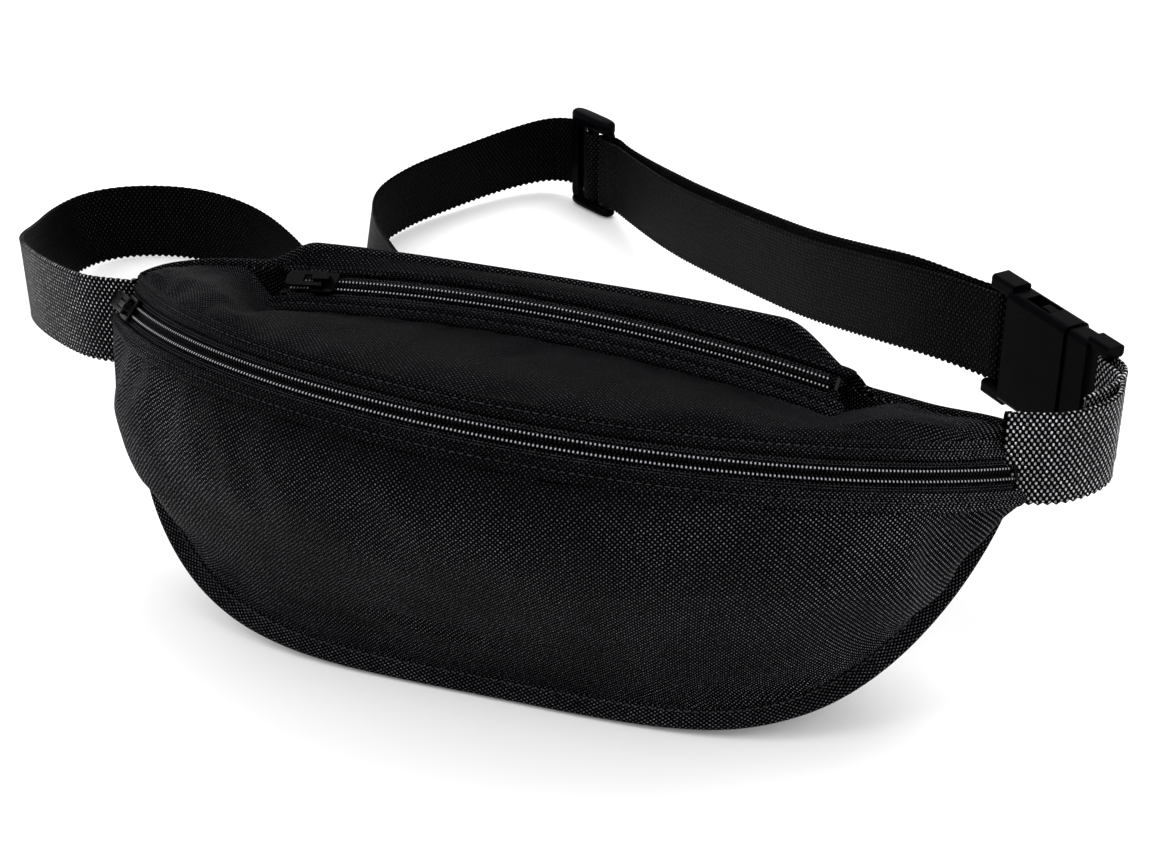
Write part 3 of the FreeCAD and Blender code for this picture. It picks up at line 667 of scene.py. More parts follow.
def build_materials(look):
    thread = look.thread_pitch / MM
    pick = look.webbing_pitch / MM
    finish = {}
    # 600-denier polyester, plain woven and coated: dark threads with painted highlights on their
    # tops, paler round the two ends of the pack, and painted shade on its upper side.
    finish["pack_fabric"] = woven_material("polyester plain weave, coated", look.fabric_dark,
                                           look.fabric_highlight, (thread, thread), 0.55, 0.9, 0.012,
                                           0.9, sharp=(0.38, 0.98),
                                           lit_ends_shaded_top=(0.8, 1.8, 0.36))
    # Light polyester lining: finer threads, almost no shine, with faint painted highlights on the
    # thread tops.
    finish["lining"] = woven_material("polyester lining, plain woven", "#060607", "#2a2a2c",
                                      (0.7, 0.7), 0.75, 0.4, 0.02, 0.6)
    # Grosgrain binding: ribs run across the tape, so it shows fine cross lines, painted as
    # highlights on the ribs.
    finish["binding_tape"] = woven_material("polyester grosgrain, ribbed weave", "#020203",
                                            "#77777c", (1.1, 0.7), 0.6, 0.9, 0.012, 0.4,
                                            sharp=(0.2, 0.9))
    # Knitted zip tape: close rows of loops with painted highlights on their tops, duller than the
    # coil.
    finish["zip_tape"] = woven_material("polyester zip tape, warp knitted", "#020203", "#58585c",
                                        (0.9, 0.8), 0.7, 0.7, 0.01, 0.2)
    # Polypropylene webbing in a coarse basket weave: painted highlights on the thread tops in
    # columns. The short strap and the long strap's first part beside the pack are painted lit, and
    # the rest is painted in shade.
    for slot, edge, shade_along in (("webbing_painted_lit", 0.12, None), ("webbing", 0.42, (85.0, 150.0, 0.035)),
                             ("webbing_painted_shade", 0.3, (*BEFORE_START, 0.045))):
        finish[slot] = woven_material("polypropylene webbing, basket woven", look.webbing_dark,
                                      look.webbing_highlight, (pick, 1.6), 0.42, 1.0, 0.012, 0.3,
                                      (edge, edge + 0.5), shade_along=shade_along)
    # Drawn nylon, glossy.
    finish["coil"] = coil_material()
    # Bonded polyester thread, a little glossier than the cloth.
    finish["sewing_thread"] = moulded_material("polyester thread, bonded", ("#141416", "#38383b"),
                                               0.45, 0.3, 0.3, 0.03)
    # Black enamel over die-cast zinc: smooth, hard highlight.
    finish["zip_metal"] = moulded_material("zinc die casting, black enamel", ("#020203", "#040405"),
                                           0.2, 0.5, 0.1, 0.06)
    # Acetal straight from the mould: satin black with crisp glints on its edges.
    finish["acetal"] = moulded_material("acetal, injection moulded", ("#010102", "#030305"),
                                        0.26, 0.35, 0.25, 0.014)
    return finish


# ---- what repeats along a line --------------------------------------------------------
def repeat_tree():
    """Geometry Nodes: copies of one small piece, set out at a pitch along a line."""
    tree = bpy.data.node_groups.new("set out along a line", "GeometryNodeTree")
    face = tree.interface
    for name, way, kind in (("Line", "INPUT", "Geometry"), ("Piece", "INPUT", "Object"),
                            ("Pitch", "INPUT", "Float"), ("Size", "INPUT", "Vector"),
                            ("Unevenness", "INPUT", "Float"), ("Seed", "INPUT", "Int"),
                            ("Finish", "INPUT", "Material"), ("Mesh", "OUTPUT", "Geometry")):
        face.new_socket(name, in_out=way, socket_type="NodeSocket" + kind)
    given = add_node(tree, "NodeGroupInput").outputs
    curve = add_node(tree, "GeometryNodeMeshToCurve", None, Mesh=given["Line"]).outputs[0]
    even = add_node(tree, "GeometryNodeResampleCurve", {"mode": "LENGTH"}, Curve=curve,
                    Length=given["Pitch"]).outputs[0]
    tangent = add_node(tree, "GeometryNodeInputTangent").outputs[0]
    out = add_node(tree, "GeometryNodeInputNamedAttribute", {"data_type": "FLOAT_VECTOR"},
                   Name="out").outputs[0]
    turned = add_node(tree, "FunctionNodeAlignRotationToVector", {"axis": "X"},
                      Vector=tangent).outputs[0]
    turned = add_node(tree, "FunctionNodeAlignRotationToVector", {"axis": "Z", "pivot_axis": "X"},
                      Rotation=turned, Vector=out).outputs[0]
    less = add_node(tree, MATHS, LESS, 1.0, given["Unevenness"])
    draw = add_node(tree, "FunctionNodeRandomValue", {"data_type": "FLOAT"}, n2=less, n3=1.0,
                    Seed=given["Seed"]).outputs[1]
    size = add_node(tree, "ShaderNodeVectorMath", {"operation": "SCALE"}, given["Size"],
                    Scale=draw)
    piece = add_node(tree, "GeometryNodeObjectInfo", None, Object=given["Piece"])
    copies = add_node(tree, "GeometryNodeInstanceOnPoints", None, Points=even,
                      Instance=piece.outputs["Geometry"],
                      Rotation=turned, Scale=size).outputs[0]
    solid = add_node(tree, "GeometryNodeRealizeInstances", None, Geometry=copies).outputs[0]
    finished = add_node(tree, "GeometryNodeSetMaterial", None, Geometry=solid,
                        Material=given["Finish"]).outputs[0]
    add_node(tree, "NodeGroupOutput", None, Mesh=finished)
    return tree


def repeat_along(name, lines, piece, pitch, size, uneven, seed, finish):
    """lines is a list of (points, outward directions), in millimetres."""
    tree = bpy.data.node_groups.get("set out along a line") or repeat_tree()
    points = []
    outs = []
    edges = []
    for line, directions in lines:
        first = len(points)
        points += [p * MM for p in line]
        outs += [c for d in directions for c in d]
        edges += [(first + i, first + i + 1) for i in range(len(line) - 1)]
    mesh = bpy.data.meshes.new(name)
    mesh.from_pydata(points, edges, [])
    attribute = mesh.attributes.new("out", "FLOAT_VECTOR", "POINT")
    attribute.data.foreach_set("vector", outs)
    obj = add_object(name, mesh)
    template = add_object(name + "_piece", piece)
    modifier = obj.modifiers.new("set out", "NODES")
    modifier.node_group = tree
    given = {"Piece": template, "Pitch": pitch * MM, "Size": [s * MM for s in size],
             "Unevenness": uneven, "Seed": seed, "Finish": finish}
    for item in tree.interface.items_tree:
        if item.name in given and item.in_out == "INPUT":
            modifier[item.identifier] = given[item.name]
    settle(obj)
    bpy.data.objects.remove(template)
    if len(obj.data.polygons) == 0:
        raise RuntimeError(name + " came out empty")
    obj.data.polygons.foreach_set("use_smooth", [True] * len(obj.data.polygons))
    dress(obj, finish)
    return obj


def thread_stitch():
    """One stitch of unit length, width and height, bowed over the cloth."""
    loops = []
    for x, half, lift in ((-0.5, 0.12, -0.5), (-0.42, 0.38, 0.1), (0.0, 0.5, 0.5),
                          (0.42, 0.38, 0.1), (0.5, 0.12, -0.5)):
        ring = [Vector((x, half * math.cos(a), lift + half * 0.8 * math.sin(a)))
                for a in [math.radians(60.0 * k) for k in range(6)]]
        loops.append([p / MM for p in ring])
    return swept_mesh("stitch_piece", loops)


def coil_loop():
    """One loop of the coil, in millimetres: a bar across the chain with a rounded head."""
    loops = []
    for y, half_x, half_z, z in ((-0.05, 0.26, 0.28, 0.85), (0.10, 0.46, 0.46, 0.95),
                                 (0.55, 0.48, 0.48, 1.08), (1.0, 0.38, 0.44, 1.45),
                                 (1.5, 0.42, 0.48, 1.85), (2.1, 0.46, 0.52, 1.92),
                                 (2.6, 0.42, 0.46, 1.45), (2.9, 0.32, 0.34, 0.75)):
        loops.append([Vector((half_x * math.cos(a), y, z + half_z * math.sin(a))) / MM
                      for a in [math.radians(45.0 * k) for k in range(8)]])
    return swept_mesh("coil_piece", loops)


# ---- soft panels ----------------------------------------------------------------------
def grid_of(surface, rows, columns, before=(), after=()):
    """Points of a surface, with extra columns before its first edge and after its last."""
    grid = []
    for i in range(rows):
        u = i / (rows - 1.0)
        row = [extra(u) for extra in before]
        row += [surface(u, j / (columns - 1.0)) for j in range(columns)]
        row += [extra(u) for extra in after]
        grid.append(row)
    return grid


def fill_with_cloth(obj, grid, pressure, slack, cap):
    """Let the panel hang on its sewn edges with the pack full, then keep a capped share of it."""
    columns = len(grid[0])
    rows = len(grid)
    held = obj.vertex_groups.new(name="sewn")
    for i in range(rows):
        for j in range(columns):
            edge = min(i, rows - 1 - i, j, columns - 1 - j)
            if edge < 2:
                held.add([i * columns + j], 1.0, "REPLACE")
    rest = [v.co.copy() for v in obj.data.vertices]
    cloth = obj.modifiers.new("cloth", "CLOTH")
    for key, value in (("quality", 5), ("mass", 0.15), ("tension_stiffness", 12.0),
                       ("compression_stiffness", 12.0), ("shear_stiffness", 4.0),
                       ("bending_stiffness", 0.4), ("use_pressure", True),
                       ("uniform_pressure_force", pressure), ("shrink_min", -slack),
                       ("vertex_group_mass", "sewn")):
        setattr(cloth.settings, key, value)
    cloth.settings.effector_weights.gravity = 0.0
    scene = bpy.context.scene
    for frame_number in range(1, 21):
        scene.frame_set(frame_number)
    graph = bpy.context.evaluated_depsgraph_get()
    moved = obj.evaluated_get(graph)
    places = [v.co.copy() for v in moved.data.vertices]
    obj.modifiers.clear()
    obj.vertex_groups.clear()
    scene.frame_set(1)
    limit = cap * MM
    for vertex, start, end in zip(obj.data.vertices, rest, places):
        step = end - start
        if step.length > 1e-9:
            step *= limit * math.tanh(step.length / limit) / step.length
        vertex.co = start + step
    obj.data.update()


def finish_panel(obj, thickness, material):
    add_modifier(obj, "SOLIDIFY", thickness=thickness * MM, offset=-1.0, use_even_offset=False)
    add_modifier(obj, "SUBSURF", levels=1, render_levels=1)
    settle(obj)
    return dress(obj, material)


def crumple(grid, dents, grain, seed):
    """Small listed folds and a little unevenness, along each point's own normal."""
    rows = len(grid)
    columns = len(grid[0])
    out = []
    for i in range(rows):
        row = []
        for j in range(columns):
            here = grid[i][j]
            du = grid[min(rows - 1, i + 1)][j] - grid[max(0, i - 1)][j]
            dv = grid[i][min(columns - 1, j + 1)] - grid[i][max(0, j - 1)]
            normal = dv.cross(du)
            normal = normal.normalized() if normal.length > 1e-9 else Z_AXIS
            u = i / (rows - 1.0)
            v = j / (columns - 1.0)
            edge = smooth_step(min(u, 1 - u), 0.0, 0.06) * smooth_step(min(v, 1 - v), 0.0, 0.14)
            push = noise.noise(here * 0.022 + Vector((seed, 0, 0))) * grain
            push += noise.noise(here * 0.06 + Vector((0, seed, 0))) * grain * 0.35
            for u0, v0, turn, long, wide, depth in dents:
                a = (u - u0) * 350.0
                b = (v - v0) * 120.0
                p = a * math.cos(turn) + b * math.sin(turn)
                q = -a * math.sin(turn) + b * math.cos(turn)
                push += depth * math.exp(-(p / long) ** 2 - (q / wide) ** 2)
            row.append(here + normal * push * edge)
        out.append(row)
    return out


def panel_piece(name, grid, dents, grain, seed, sim, thickness, finish, slot):
    grid = crumple(grid, dents, grain, seed)
    obj = add_object(name, sheet_mesh(name, grid))
    if sim:
        fill_with_cloth(obj, grid, *sim)
    finish_panel(obj, thickness, finish[slot])
    return obj


FRONT_DENTS = [(0.40, 0.74, 0.10, 26.0, 3.4, -2.4), (0.47, 0.80, 0.16, 30.0, 3.2, 2.2),
               (0.37, 0.83, 0.05, 24.0, 3.2, -2.0), (0.86, 0.62, 1.25, 20.0, 7.0, -2.6),
               (0.90, 0.50, 1.15, 22.0, 5.0, 1.6), (0.95, 0.22, 0.85, 16.0, 4.0, -1.5),
               (0.06, 0.30, -0.6, 16.0, 5.0, -1.2), (0.30, 0.55, 0.3, 40.0, 12.0, -1.2)]
MID_DENTS = [(0.03, 0.6, 0.3, 14.0, 6.0, 2.6), (0.90, 0.7, 0.12, 34.0, 2.6, 1.6),
             (0.86, 0.80, 0.15, 26.0, 2.4, -1.2), (0.70, 0.5, 0.4, 30.0, 8.0, -1.2),
             (0.25, 0.5, -0.3, 34.0, 10.0, 1.4)]
BACK_DENTS = [(0.3, 0.5, 0.4, 40.0, 10.0, -1.6), (0.62, 0.62, -0.3, 44.0, 9.0, -1.8),
              (0.8, 0.4, 0.9, 30.0, 8.0, -1.4)]


def build_panels(look, finish):
    cloth = (look.fill_pressure, look.slack, look.cloth_cap / MM)

    def under_welt(side, height):
        def place(u):
            angle = front_angle(u)
            return front_zip.at(angle, side * (tuck(angle) if side < 0 else 1.0), height)
        return place

    def seam_tuck(u):
        return seam_line(under_front(u), 4.5) + SEAM_FACE * 0.5

    grid = grid_of(front_point, 97, 33, [under_welt(-8.5, 0.55), under_welt(-10.5, 0.7)],
                   [seam_tuck])
    front = panel_piece("front_panel_cloth", grid, FRONT_DENTS, 1.5, 3.7, cloth, 1.0, finish,
                        "pack_fabric")
    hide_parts("front_panel")
    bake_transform(front)

    def over_rear(u):
        x = behind_front(u)
        return mid_rear_edge(x) + Vector((0, 2.2 - smooth_step(abs(x), 105.0, 130.0), 0.3))

    grid = grid_of(mid_point, 97, 21, [over_rear],
                   [under_welt(10.5, 0.7), under_welt(8.5, 0.55)])
    middle = panel_piece("mid_panel_cloth", grid, MID_DENTS, 1.4, 8.1,
                         (look.fill_pressure * 0.8, look.slack, look.cloth_cap / MM * 0.8), 1.0,
                         finish, "pack_fabric")
    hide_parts("mid_panel")
    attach(middle, "pack")

    grid = grid_of(back_point, 89, 45)
    back = panel_piece("back_panel_cloth", grid, BACK_DENTS, 1.2, 5.3, None, 2.4, finish,
                       "pack_fabric")
    for vertex in back.data.vertices:
        vertex.co.z = max(0.0, vertex.co.z)
    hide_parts("back_panel")
    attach(back, "pack")

    grid = grid_of(strip_point, 97, 11,
                   [lambda u: crest((POCKET_END - 3.0) * (2.0 * u - 1.0)) + Vector((0, 0.9, 0.7))])
    strip = panel_piece("back_strip_cloth", grid, [], 0.5, 2.2, None, 1.0, finish, "pack_fabric")
    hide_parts("back_strip")
    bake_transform(strip)

    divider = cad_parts["divider_panel"]
    divider.data.materials.clear()
    divider.data.materials.append(finish["lining"])
    add_thread_map(divider, lambda place: (place.y + place.z) * 0.8)


def add_thread_map(obj, rise):
    """Thread positions for a flat piece, from its place: along x, and up by rise(place)."""
    layer = obj.data.uv_layers.get("thread") or obj.data.uv_layers.new(name="thread")
    for loop in obj.data.loops:
        here = obj.data.vertices[loop.vertex_index].co
        layer.data[loop.index].uv = (here.x / MM, rise(here) / MM)


# ---- bound edges ----------------------------------------------------------------------
def bound_edge(name, places, profile, finish, swell=None):
    """A folded tape. places are (edge point, direction in, normal); profile is (in, out) pairs."""
    loops = []
    for i, (edge, into, normal) in enumerate(places):
        scale = swell(i / (len(places) - 1.0)) if swell else 1.0
        scale *= 1.0 + 0.05 * noise.noise(edge * 0.12)
        loops.append([edge + into * a + normal * (b * scale) for a, b in profile])
    obj = add_object(name, swept_mesh(name, loops))
    return dress(obj, finish["binding_tape"])


def build_bindings(look, finish):
    count = 321
    places = []
    for i in range(count):
        x = (HALF_WIDTH - 0.8) * math.sin(math.radians(-90.0 + 180.0 * i / (count - 1.0)))
        wander = 0.35 * noise.noise(Vector((x * 0.05, 4.0, 0)))
        places.append((outline(x) + inward(x) * (0.4 + wander * 0.4), inward(x), SEAM_FACE))
    profile = [(0.0, 0.0), (0.15, 0.75), (0.9, 1.25), (2.4, 1.32), (4.2, 1.25), (6.0, 1.3),
               (7.2, 1.15), (7.6, 0.6), (7.6, -0.6), (7.2, -1.0), (4.2, -1.15), (2.4, -1.2),
               (0.9, -1.05), (0.15, -0.65)]
    seam = bound_edge("seam_binding_tape", places, profile, finish,
                      lambda t: 1.0 + 0.9 * (1.0 - smooth_step(min(t, 1 - t), 0.0, 0.05)))
    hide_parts("seam_binding")
    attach(seam, "pack")

    stitch = thread_stitch()
    line = [edge + into * 6.2 + normal * 1.5 for edge, into, normal in places[6:-6]]
    rows = repeat_along("seam_binding_stitches", [(line, [p[2] for p in places[6:-6]])], stitch,
                        look.stitch_pitch / MM, (2.3, 0.55, 0.5), 0.15, 11, finish["sewing_thread"])
    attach(rows, "pack")

    count = 201
    places = []
    for i in range(count):
        x = (HALF_WIDTH - 4.0) * (2.0 * i / (count - 1.0) - 1.0)
        low = crest(x) + Vector((0, 0.5, -1.6))
        places.append((low, Vector((0, -0.25, 0.97)), Vector((0, 0.97, 0.25))))
    profile = [(0.0, -1.2), (0.0, 1.2), (1.4, 1.7), (2.8, 1.6), (3.9, 0.9), (4.2, 0.0),
               (3.9, -0.9), (2.8, -1.6), (1.4, -1.7)]
    top = bound_edge("crest_binding_tape", places, profile, finish,
                     lambda t: 0.62 + 0.38 * (1.0 - smooth_step(abs(2.0 * t - 1.0), 0.60, 0.74)))
    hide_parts("crest_binding")
    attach(top, "pack")


# ---- zips -----------------------------------------------------------------------------
WELT_PROFILE = [(6.1, 0.55), (5.75, 1.3), (6.0, 2.2), (6.8, 2.8), (7.8, 2.6), (8.6, 1.7),
                (9.2, 1.45), (9.9, 1.75), (11.0, 2.15), (12.1, 1.75), (12.9, 0.6), (11.0, 0.42),
                (8.0, 0.42)]
WELT_MIDDLE = 9.4


def arc_loops(arc, side, profile, count, start, end, waver, seed, rounding=0.0):
    """A section swept along a zip. rounding is the length of its folded, rounded ends."""
    loops = []
    part = rounding / (math.radians(end - start) * arc.radius)
    tip = [math.radians(90.0 * k / 8.0) for k in range(8)] if rounding else []
    stops = [(part * (1.0 - math.cos(k)), math.sin(k)) for k in tip]
    steps = [(part + (1.0 - 2.0 * part) * i / (count - 1.0), 1.0) for i in range(count)]
    for t, scale in stops + steps + [(1.0 - t, scale) for t, scale in reversed(stops)]:
        angle = start + (end - start) * t
        scale = max(0.06, scale)
        drift = waver * noise.noise(Vector((t * 22.0, seed, 0)))
        lift = waver * 0.6 * noise.noise(Vector((t * 31.0, seed, 5)))
        narrow = tuck(angle) if arc is front_zip and side < 0 and rounding else 1.0
        loop = []
        for a, b in profile:
            if rounding:
                a = WELT_MIDDLE + (a - WELT_MIDDLE) * scale
                a = 6.0 + (a - 6.0) * narrow if a > 6.0 else a
                b = 0.42 + (b - 0.42) * scale ** 0.6
            loop.append(arc.at(angle, side * (a + drift), b + lift * (b > 1.0)))
        loops.append(loop)
    return loops


def zip_side(arc, prefix, word, side, reach, seed, look, finish):
    """Tape, coil, sewing rows and folded fabric edge on one side of a chain."""
    slim = reach - TAPE_HALF
    made = []
    tape_profile = [(CHAIN_SLOT, -0.4), (CHAIN_SLOT, 0.4), (2.0, 0.45), (4.0, 0.4), (reach, 0.4),
                    (reach, -0.4)]
    node = "%s_zip_%s" % (prefix, word)
    tape = add_object(node + "_tape_knit", swept_mesh(node, arc_loops(
        arc, side, tape_profile, 161, arc.low, arc.high, 0.0, seed)))
    dress(tape, finish["zip_tape"])
    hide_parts(node + "_tape")
    made.append(tape)

    profile = [(a + slim * 0.9 * smooth_step(a, 6.0, 9.0), b) for a, b in WELT_PROFILE]
    over = math.degrees(look.welt_overrun / MM / arc.radius)
    welt = add_object(node + "_welt_fold", swept_mesh(node + "_welt_fold", arc_loops(
        arc, side, profile, 261, arc.low - over, arc.high + over, 0.4, seed + 0.5, 5.0)))
    dress(welt, finish["pack_fabric"])
    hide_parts(node + "_welt")
    made.append(welt)

    pitch = math.degrees(look.coil_pitch / MM / arc.radius)
    offset = 0.0 if side > 0 else 0.5 * pitch
    angles = [arc.low + 0.6 + offset + (arc.high - arc.low - 1.2 - pitch) * i / 240.0
              for i in range(241)]
    if side < 0:
        angles.reverse()
    line = [arc.at(a, 0.0, 0.0) for a in angles]
    outs = [arc.frame(a)[3] for a in angles]
    coil = repeat_along(node + "_coil_loops", [(line, outs)], coil_loop(), look.coil_pitch / MM,
                        (1.0, 1.0, 1.0), 0.0, 5, finish["coil"])
    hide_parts(node + "_coil")
    made.append(coil)

    rows = []
    for offset_side, height in ((3.75, 0.75), (4.75, 0.62)):
        rows.append(([arc.at(a, side * offset_side, height) for a in angles], outs))
    sewing = repeat_along(node + "_sewing", rows, thread_stitch(), 1.5, (1.05, 0.55, 0.55), 0.15, 7,
                          finish["sewing_thread"])
    made.append(sewing)
    narrow = [tuck(a) if arc is front_zip and side < 0 else 1.0 for a in angles]
    fold = [arc.at(a, side * (6.0 + (3.2 + slim * 0.9) * k), 1.7) for a, k in zip(angles, narrow)]
    seam = repeat_along(node + "_welt_stitches", [(fold, outs)], thread_stitch(),
                        look.stitch_pitch / MM, (2.2, 0.5, 0.5), 0.15, 9, finish["sewing_thread"])
    made.append(seam)
    return made


def build_zips(look, finish):
    for piece in zip_side(front_zip, "front", "upper", 1.0, TAPE_HALF, 1.0, look, finish):
        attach(piece, "pack")
    for piece in zip_side(front_zip, "front", "lower", -1.0, TAPE_HALF, 2.0, look, finish):
        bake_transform(piece)
    for piece in zip_side(rear_zip, "rear", "back", 1.0, REAR_REACH, 3.0, look, finish):
        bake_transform(piece)
    for piece in zip_side(rear_zip, "rear", "front", -1.0, TAPE_HALF, 4.0, look, finish):
        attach(piece, "pack")
    for node in ("front_zip_stops", "rear_zip_stops"):
        softened(node, 0.15, finish["zip_metal"], "pack")


# ---- hard pieces ----------------------------------------------------------------------
def softened(node, radius, material, body, suffix="_moulded"):
    """A copy of a CAD node with its edges rounded as a mould leaves them."""
    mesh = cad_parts[node].data.copy()
    work = bmesh.new()
    work.from_mesh(mesh)
    bmesh.ops.remove_doubles(work, verts=work.verts, dist=1e-6)
    bmesh.ops.dissolve_limit(work, angle_limit=math.radians(1.5), verts=work.verts,
                             edges=work.edges)
    work.to_mesh(mesh)
    work.free()
    obj = add_object(node + suffix, mesh)
    add_modifier(obj, "BEVEL", width=radius * MM, segments=2, limit_method="ANGLE",
                 angle_limit=math.radians(32.0), harden_normals=False)
    settle(obj)
    obj.data.polygons.foreach_set("use_smooth", [True] * len(obj.data.polygons))
    add_modifier(obj, "WEIGHTED_NORMAL", keep_sharp=True, weight=100)
    settle(obj)
    dress(obj, material)
    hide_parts(node)
    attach(obj, body)
    return obj


def build_sliders(look, finish):
    for node in ("front_slider", "rear_slider", "front_pull", "rear_pull"):
        softened(node, 0.3, finish["zip_metal"], node)


def build_buckle(look, finish):
    softened("buckle_socket", 0.45, finish["acetal"], "pack")
    softened("buckle_plug", 0.45, finish["acetal"], "buckle_plug")
    softened("buckle_prong_upper", 0.4, finish["acetal"], "prong_upper")
    softened("buckle_prong_lower", 0.4, finish["acetal"], "prong_lower")
    softened("tri_glide", 0.9, finish["acetal"], "tri_glide")
    for word, low, high in (("upper", 47.6, 54.6), ("lower", 0.4, 5.2)):
        cap = end_cap("tri_glide_%s_cap" % word, GLIDE_AT, GLIDE_HEADING, 15.6, 4.6, low, high, 2.2)
        dress(cap, finish["acetal"])
        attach(cap, "tri_glide")


def end_cap(name, centre, heading, half_length, half_width, low, high, radius):
    """A moulded bar end: an oval block with its upper and lower edges rounded."""
    loops = []
    levels = []
    for k in range(5):
        turn = math.radians(90.0 * k / 4.0)
        levels.append((radius * (1.0 - math.sin(turn)), radius * (1.0 - math.cos(turn))))
    heights = [(low + drop, inset) for inset, drop in levels]
    heights += [(high - drop, inset) for inset, drop in reversed(levels)]
    for z, inset in heights:
        loop = []
        for k in range(40):
            turn = 2.0 * math.pi * k / 40.0
            a = math.copysign(abs(math.cos(turn)) ** 0.45, math.cos(turn)) * (half_length - inset)
            b = math.copysign(abs(math.sin(turn)) ** 0.8, math.sin(turn)) * (half_width - inset)
            loop.append(in_frame(centre, heading, a, b, z))
        loops.append(loop)
    return add_object(name, swept_mesh(name, loops))


# ---- belt -----------------------------------------------------------------------------
def even_steps(points, extras, step):
    """Resample a line at an even step, with its extra value carried along."""
    lengths = run_lengths(points)
    total = lengths[-1]
    count = int(total / step)
    out = []
    values = []
    k = 0
    for i in range(count + 1):
        want = total * i / count
        while k < len(lengths) - 2 and lengths[k + 1] < want:
            k += 1
        t = (want - lengths[k]) / max(1e-9, lengths[k + 1] - lengths[k])
        out.append(mix(points[k], points[k + 1], t))
        values.append(extras[k] * (1 - t) + extras[k + 1] * t)
    return out, values


def relaxed(points, rounds):
    """Round off the corners that an even resampling leaves."""
    for _ in range(rounds):
        inner = [(points[i - 1] + points[i] * 2.0 + points[i + 1]) / 4.0
                 for i in range(1, len(points) - 1)]
        points = [points[0]] + inner + [points[-1]]
    return points


def webbing_piece(name, route, leans, look, material):
    """Webbing on its edge: rounded selvedges, scalloped where each pick turns back."""
    points, leans = even_steps(route, leans, 0.82)
    points = relaxed(points, 10)
    half = WEBBING_THICK / 2.0
    across = [(0.0, 0.0), (0.2, 0.62), (0.8, 0.98), (1.9, 1.02), (3.2, 0.92), (10.0, 0.95),
              (19.0, 0.97), (28.0, 0.95), (34.8, 0.92), (36.1, 1.02), (37.2, 0.98), (37.8, 0.62),
              (38.0, 0.0)]
    profile = across + [(a, -b) for a, b in reversed(across[1:-1])]
    loops = []
    travelled = run_lengths(points)
    for i, here in enumerate(points):
        ahead = points[min(len(points) - 1, i + 1)] - points[max(0, i - 1)]
        side = Vector((-ahead.y, ahead.x, 0)).normalized()
        lean = leans[i]
        rise = side * lean + Z_AXIS * math.sqrt(WEBBING ** 2 - lean ** 2)
        rise.normalize()
        thick = rise.cross(ahead).normalized()
        if thick.dot(side) < 0:
            thick.negate()
        wave = math.sin(2.0 * math.pi * travelled[i] / look.scallop_pitch * MM)
        loop = []
        for a, b in profile:
            low = 1.0 - smooth_step(a, 0.0, 3.0)
            high = smooth_step(a, WEBBING - 2.4, WEBBING)
            a += (0.45 - 0.55 * wave) * low - (0.1 - 0.12 * wave) * high
            b *= half * (1.0 + 0.12 * wave * (low + high))
            a = max(0.0, a) if here.z < 0.5 and a < 1.0 else a
            loop.append(here + rise * a + thick * b)
        loops.append(loop)
    around = [a for a, _ in across] + [WEBBING * 2 - a for a, _ in reversed(across[1:-1])]
    around.append(WEBBING * 2)
    obj = add_object(name, swept_mesh(name, loops, around))
    return dress(obj, material)


def build_belt(look, finish):
    single, leans, double = long_strap_routes()
    # The webbing finishes are lit and shaded copies of one cloth: painted light on the short strap,
    # and painted shade on the doubled length.
    first = webbing_piece("long_strap_single", single, leans, look, finish["webbing"])
    second = webbing_piece("long_strap_doubled", double, [0.0] * len(double), look,
                           finish["webbing_painted_shade"])
    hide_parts("long_strap")
    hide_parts("long_strap")
    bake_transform(first)
    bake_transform(second)
    short_route = short_strap_route()
    short = webbing_piece("short_strap_looped", short_route, [0.0] * len(short_route), look,
                          finish["webbing_painted_lit"])
    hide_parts("short_strap")
    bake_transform(short)
    for node in ("left_strap_tack", "right_strap_tack"):
        tack = softened(node, 0.5, finish["webbing"], "pack", "_webbing")
        add_thread_map(tack, lambda place: place.z)


# ---- stage ----------------------------------------------------------------------------
CAMERA_TARGET = Vector((35, -30, 121.8)) * MM
CAMERA_TURN = math.radians(18.1)
CAMERA_RISE = math.radians(30.0)
CAMERA_DISTANCE = 0.750
CAMERA_LENS = 69.1


def area_light(name, place, target, size, power):
    data = bpy.data.lights.new(name, "AREA")
    data.shape = "RECTANGLE"
    data.size = size[0]
    data.size_y = size[1]
    data.energy = power
    light = bpy.data.objects.new(name, data)
    bpy.context.scene.collection.objects.link(light)
    light.location = place
    light.rotation_euler = (Vector(target) - Vector(place)).to_track_quat("-Z", "Y").to_euler()
    return light


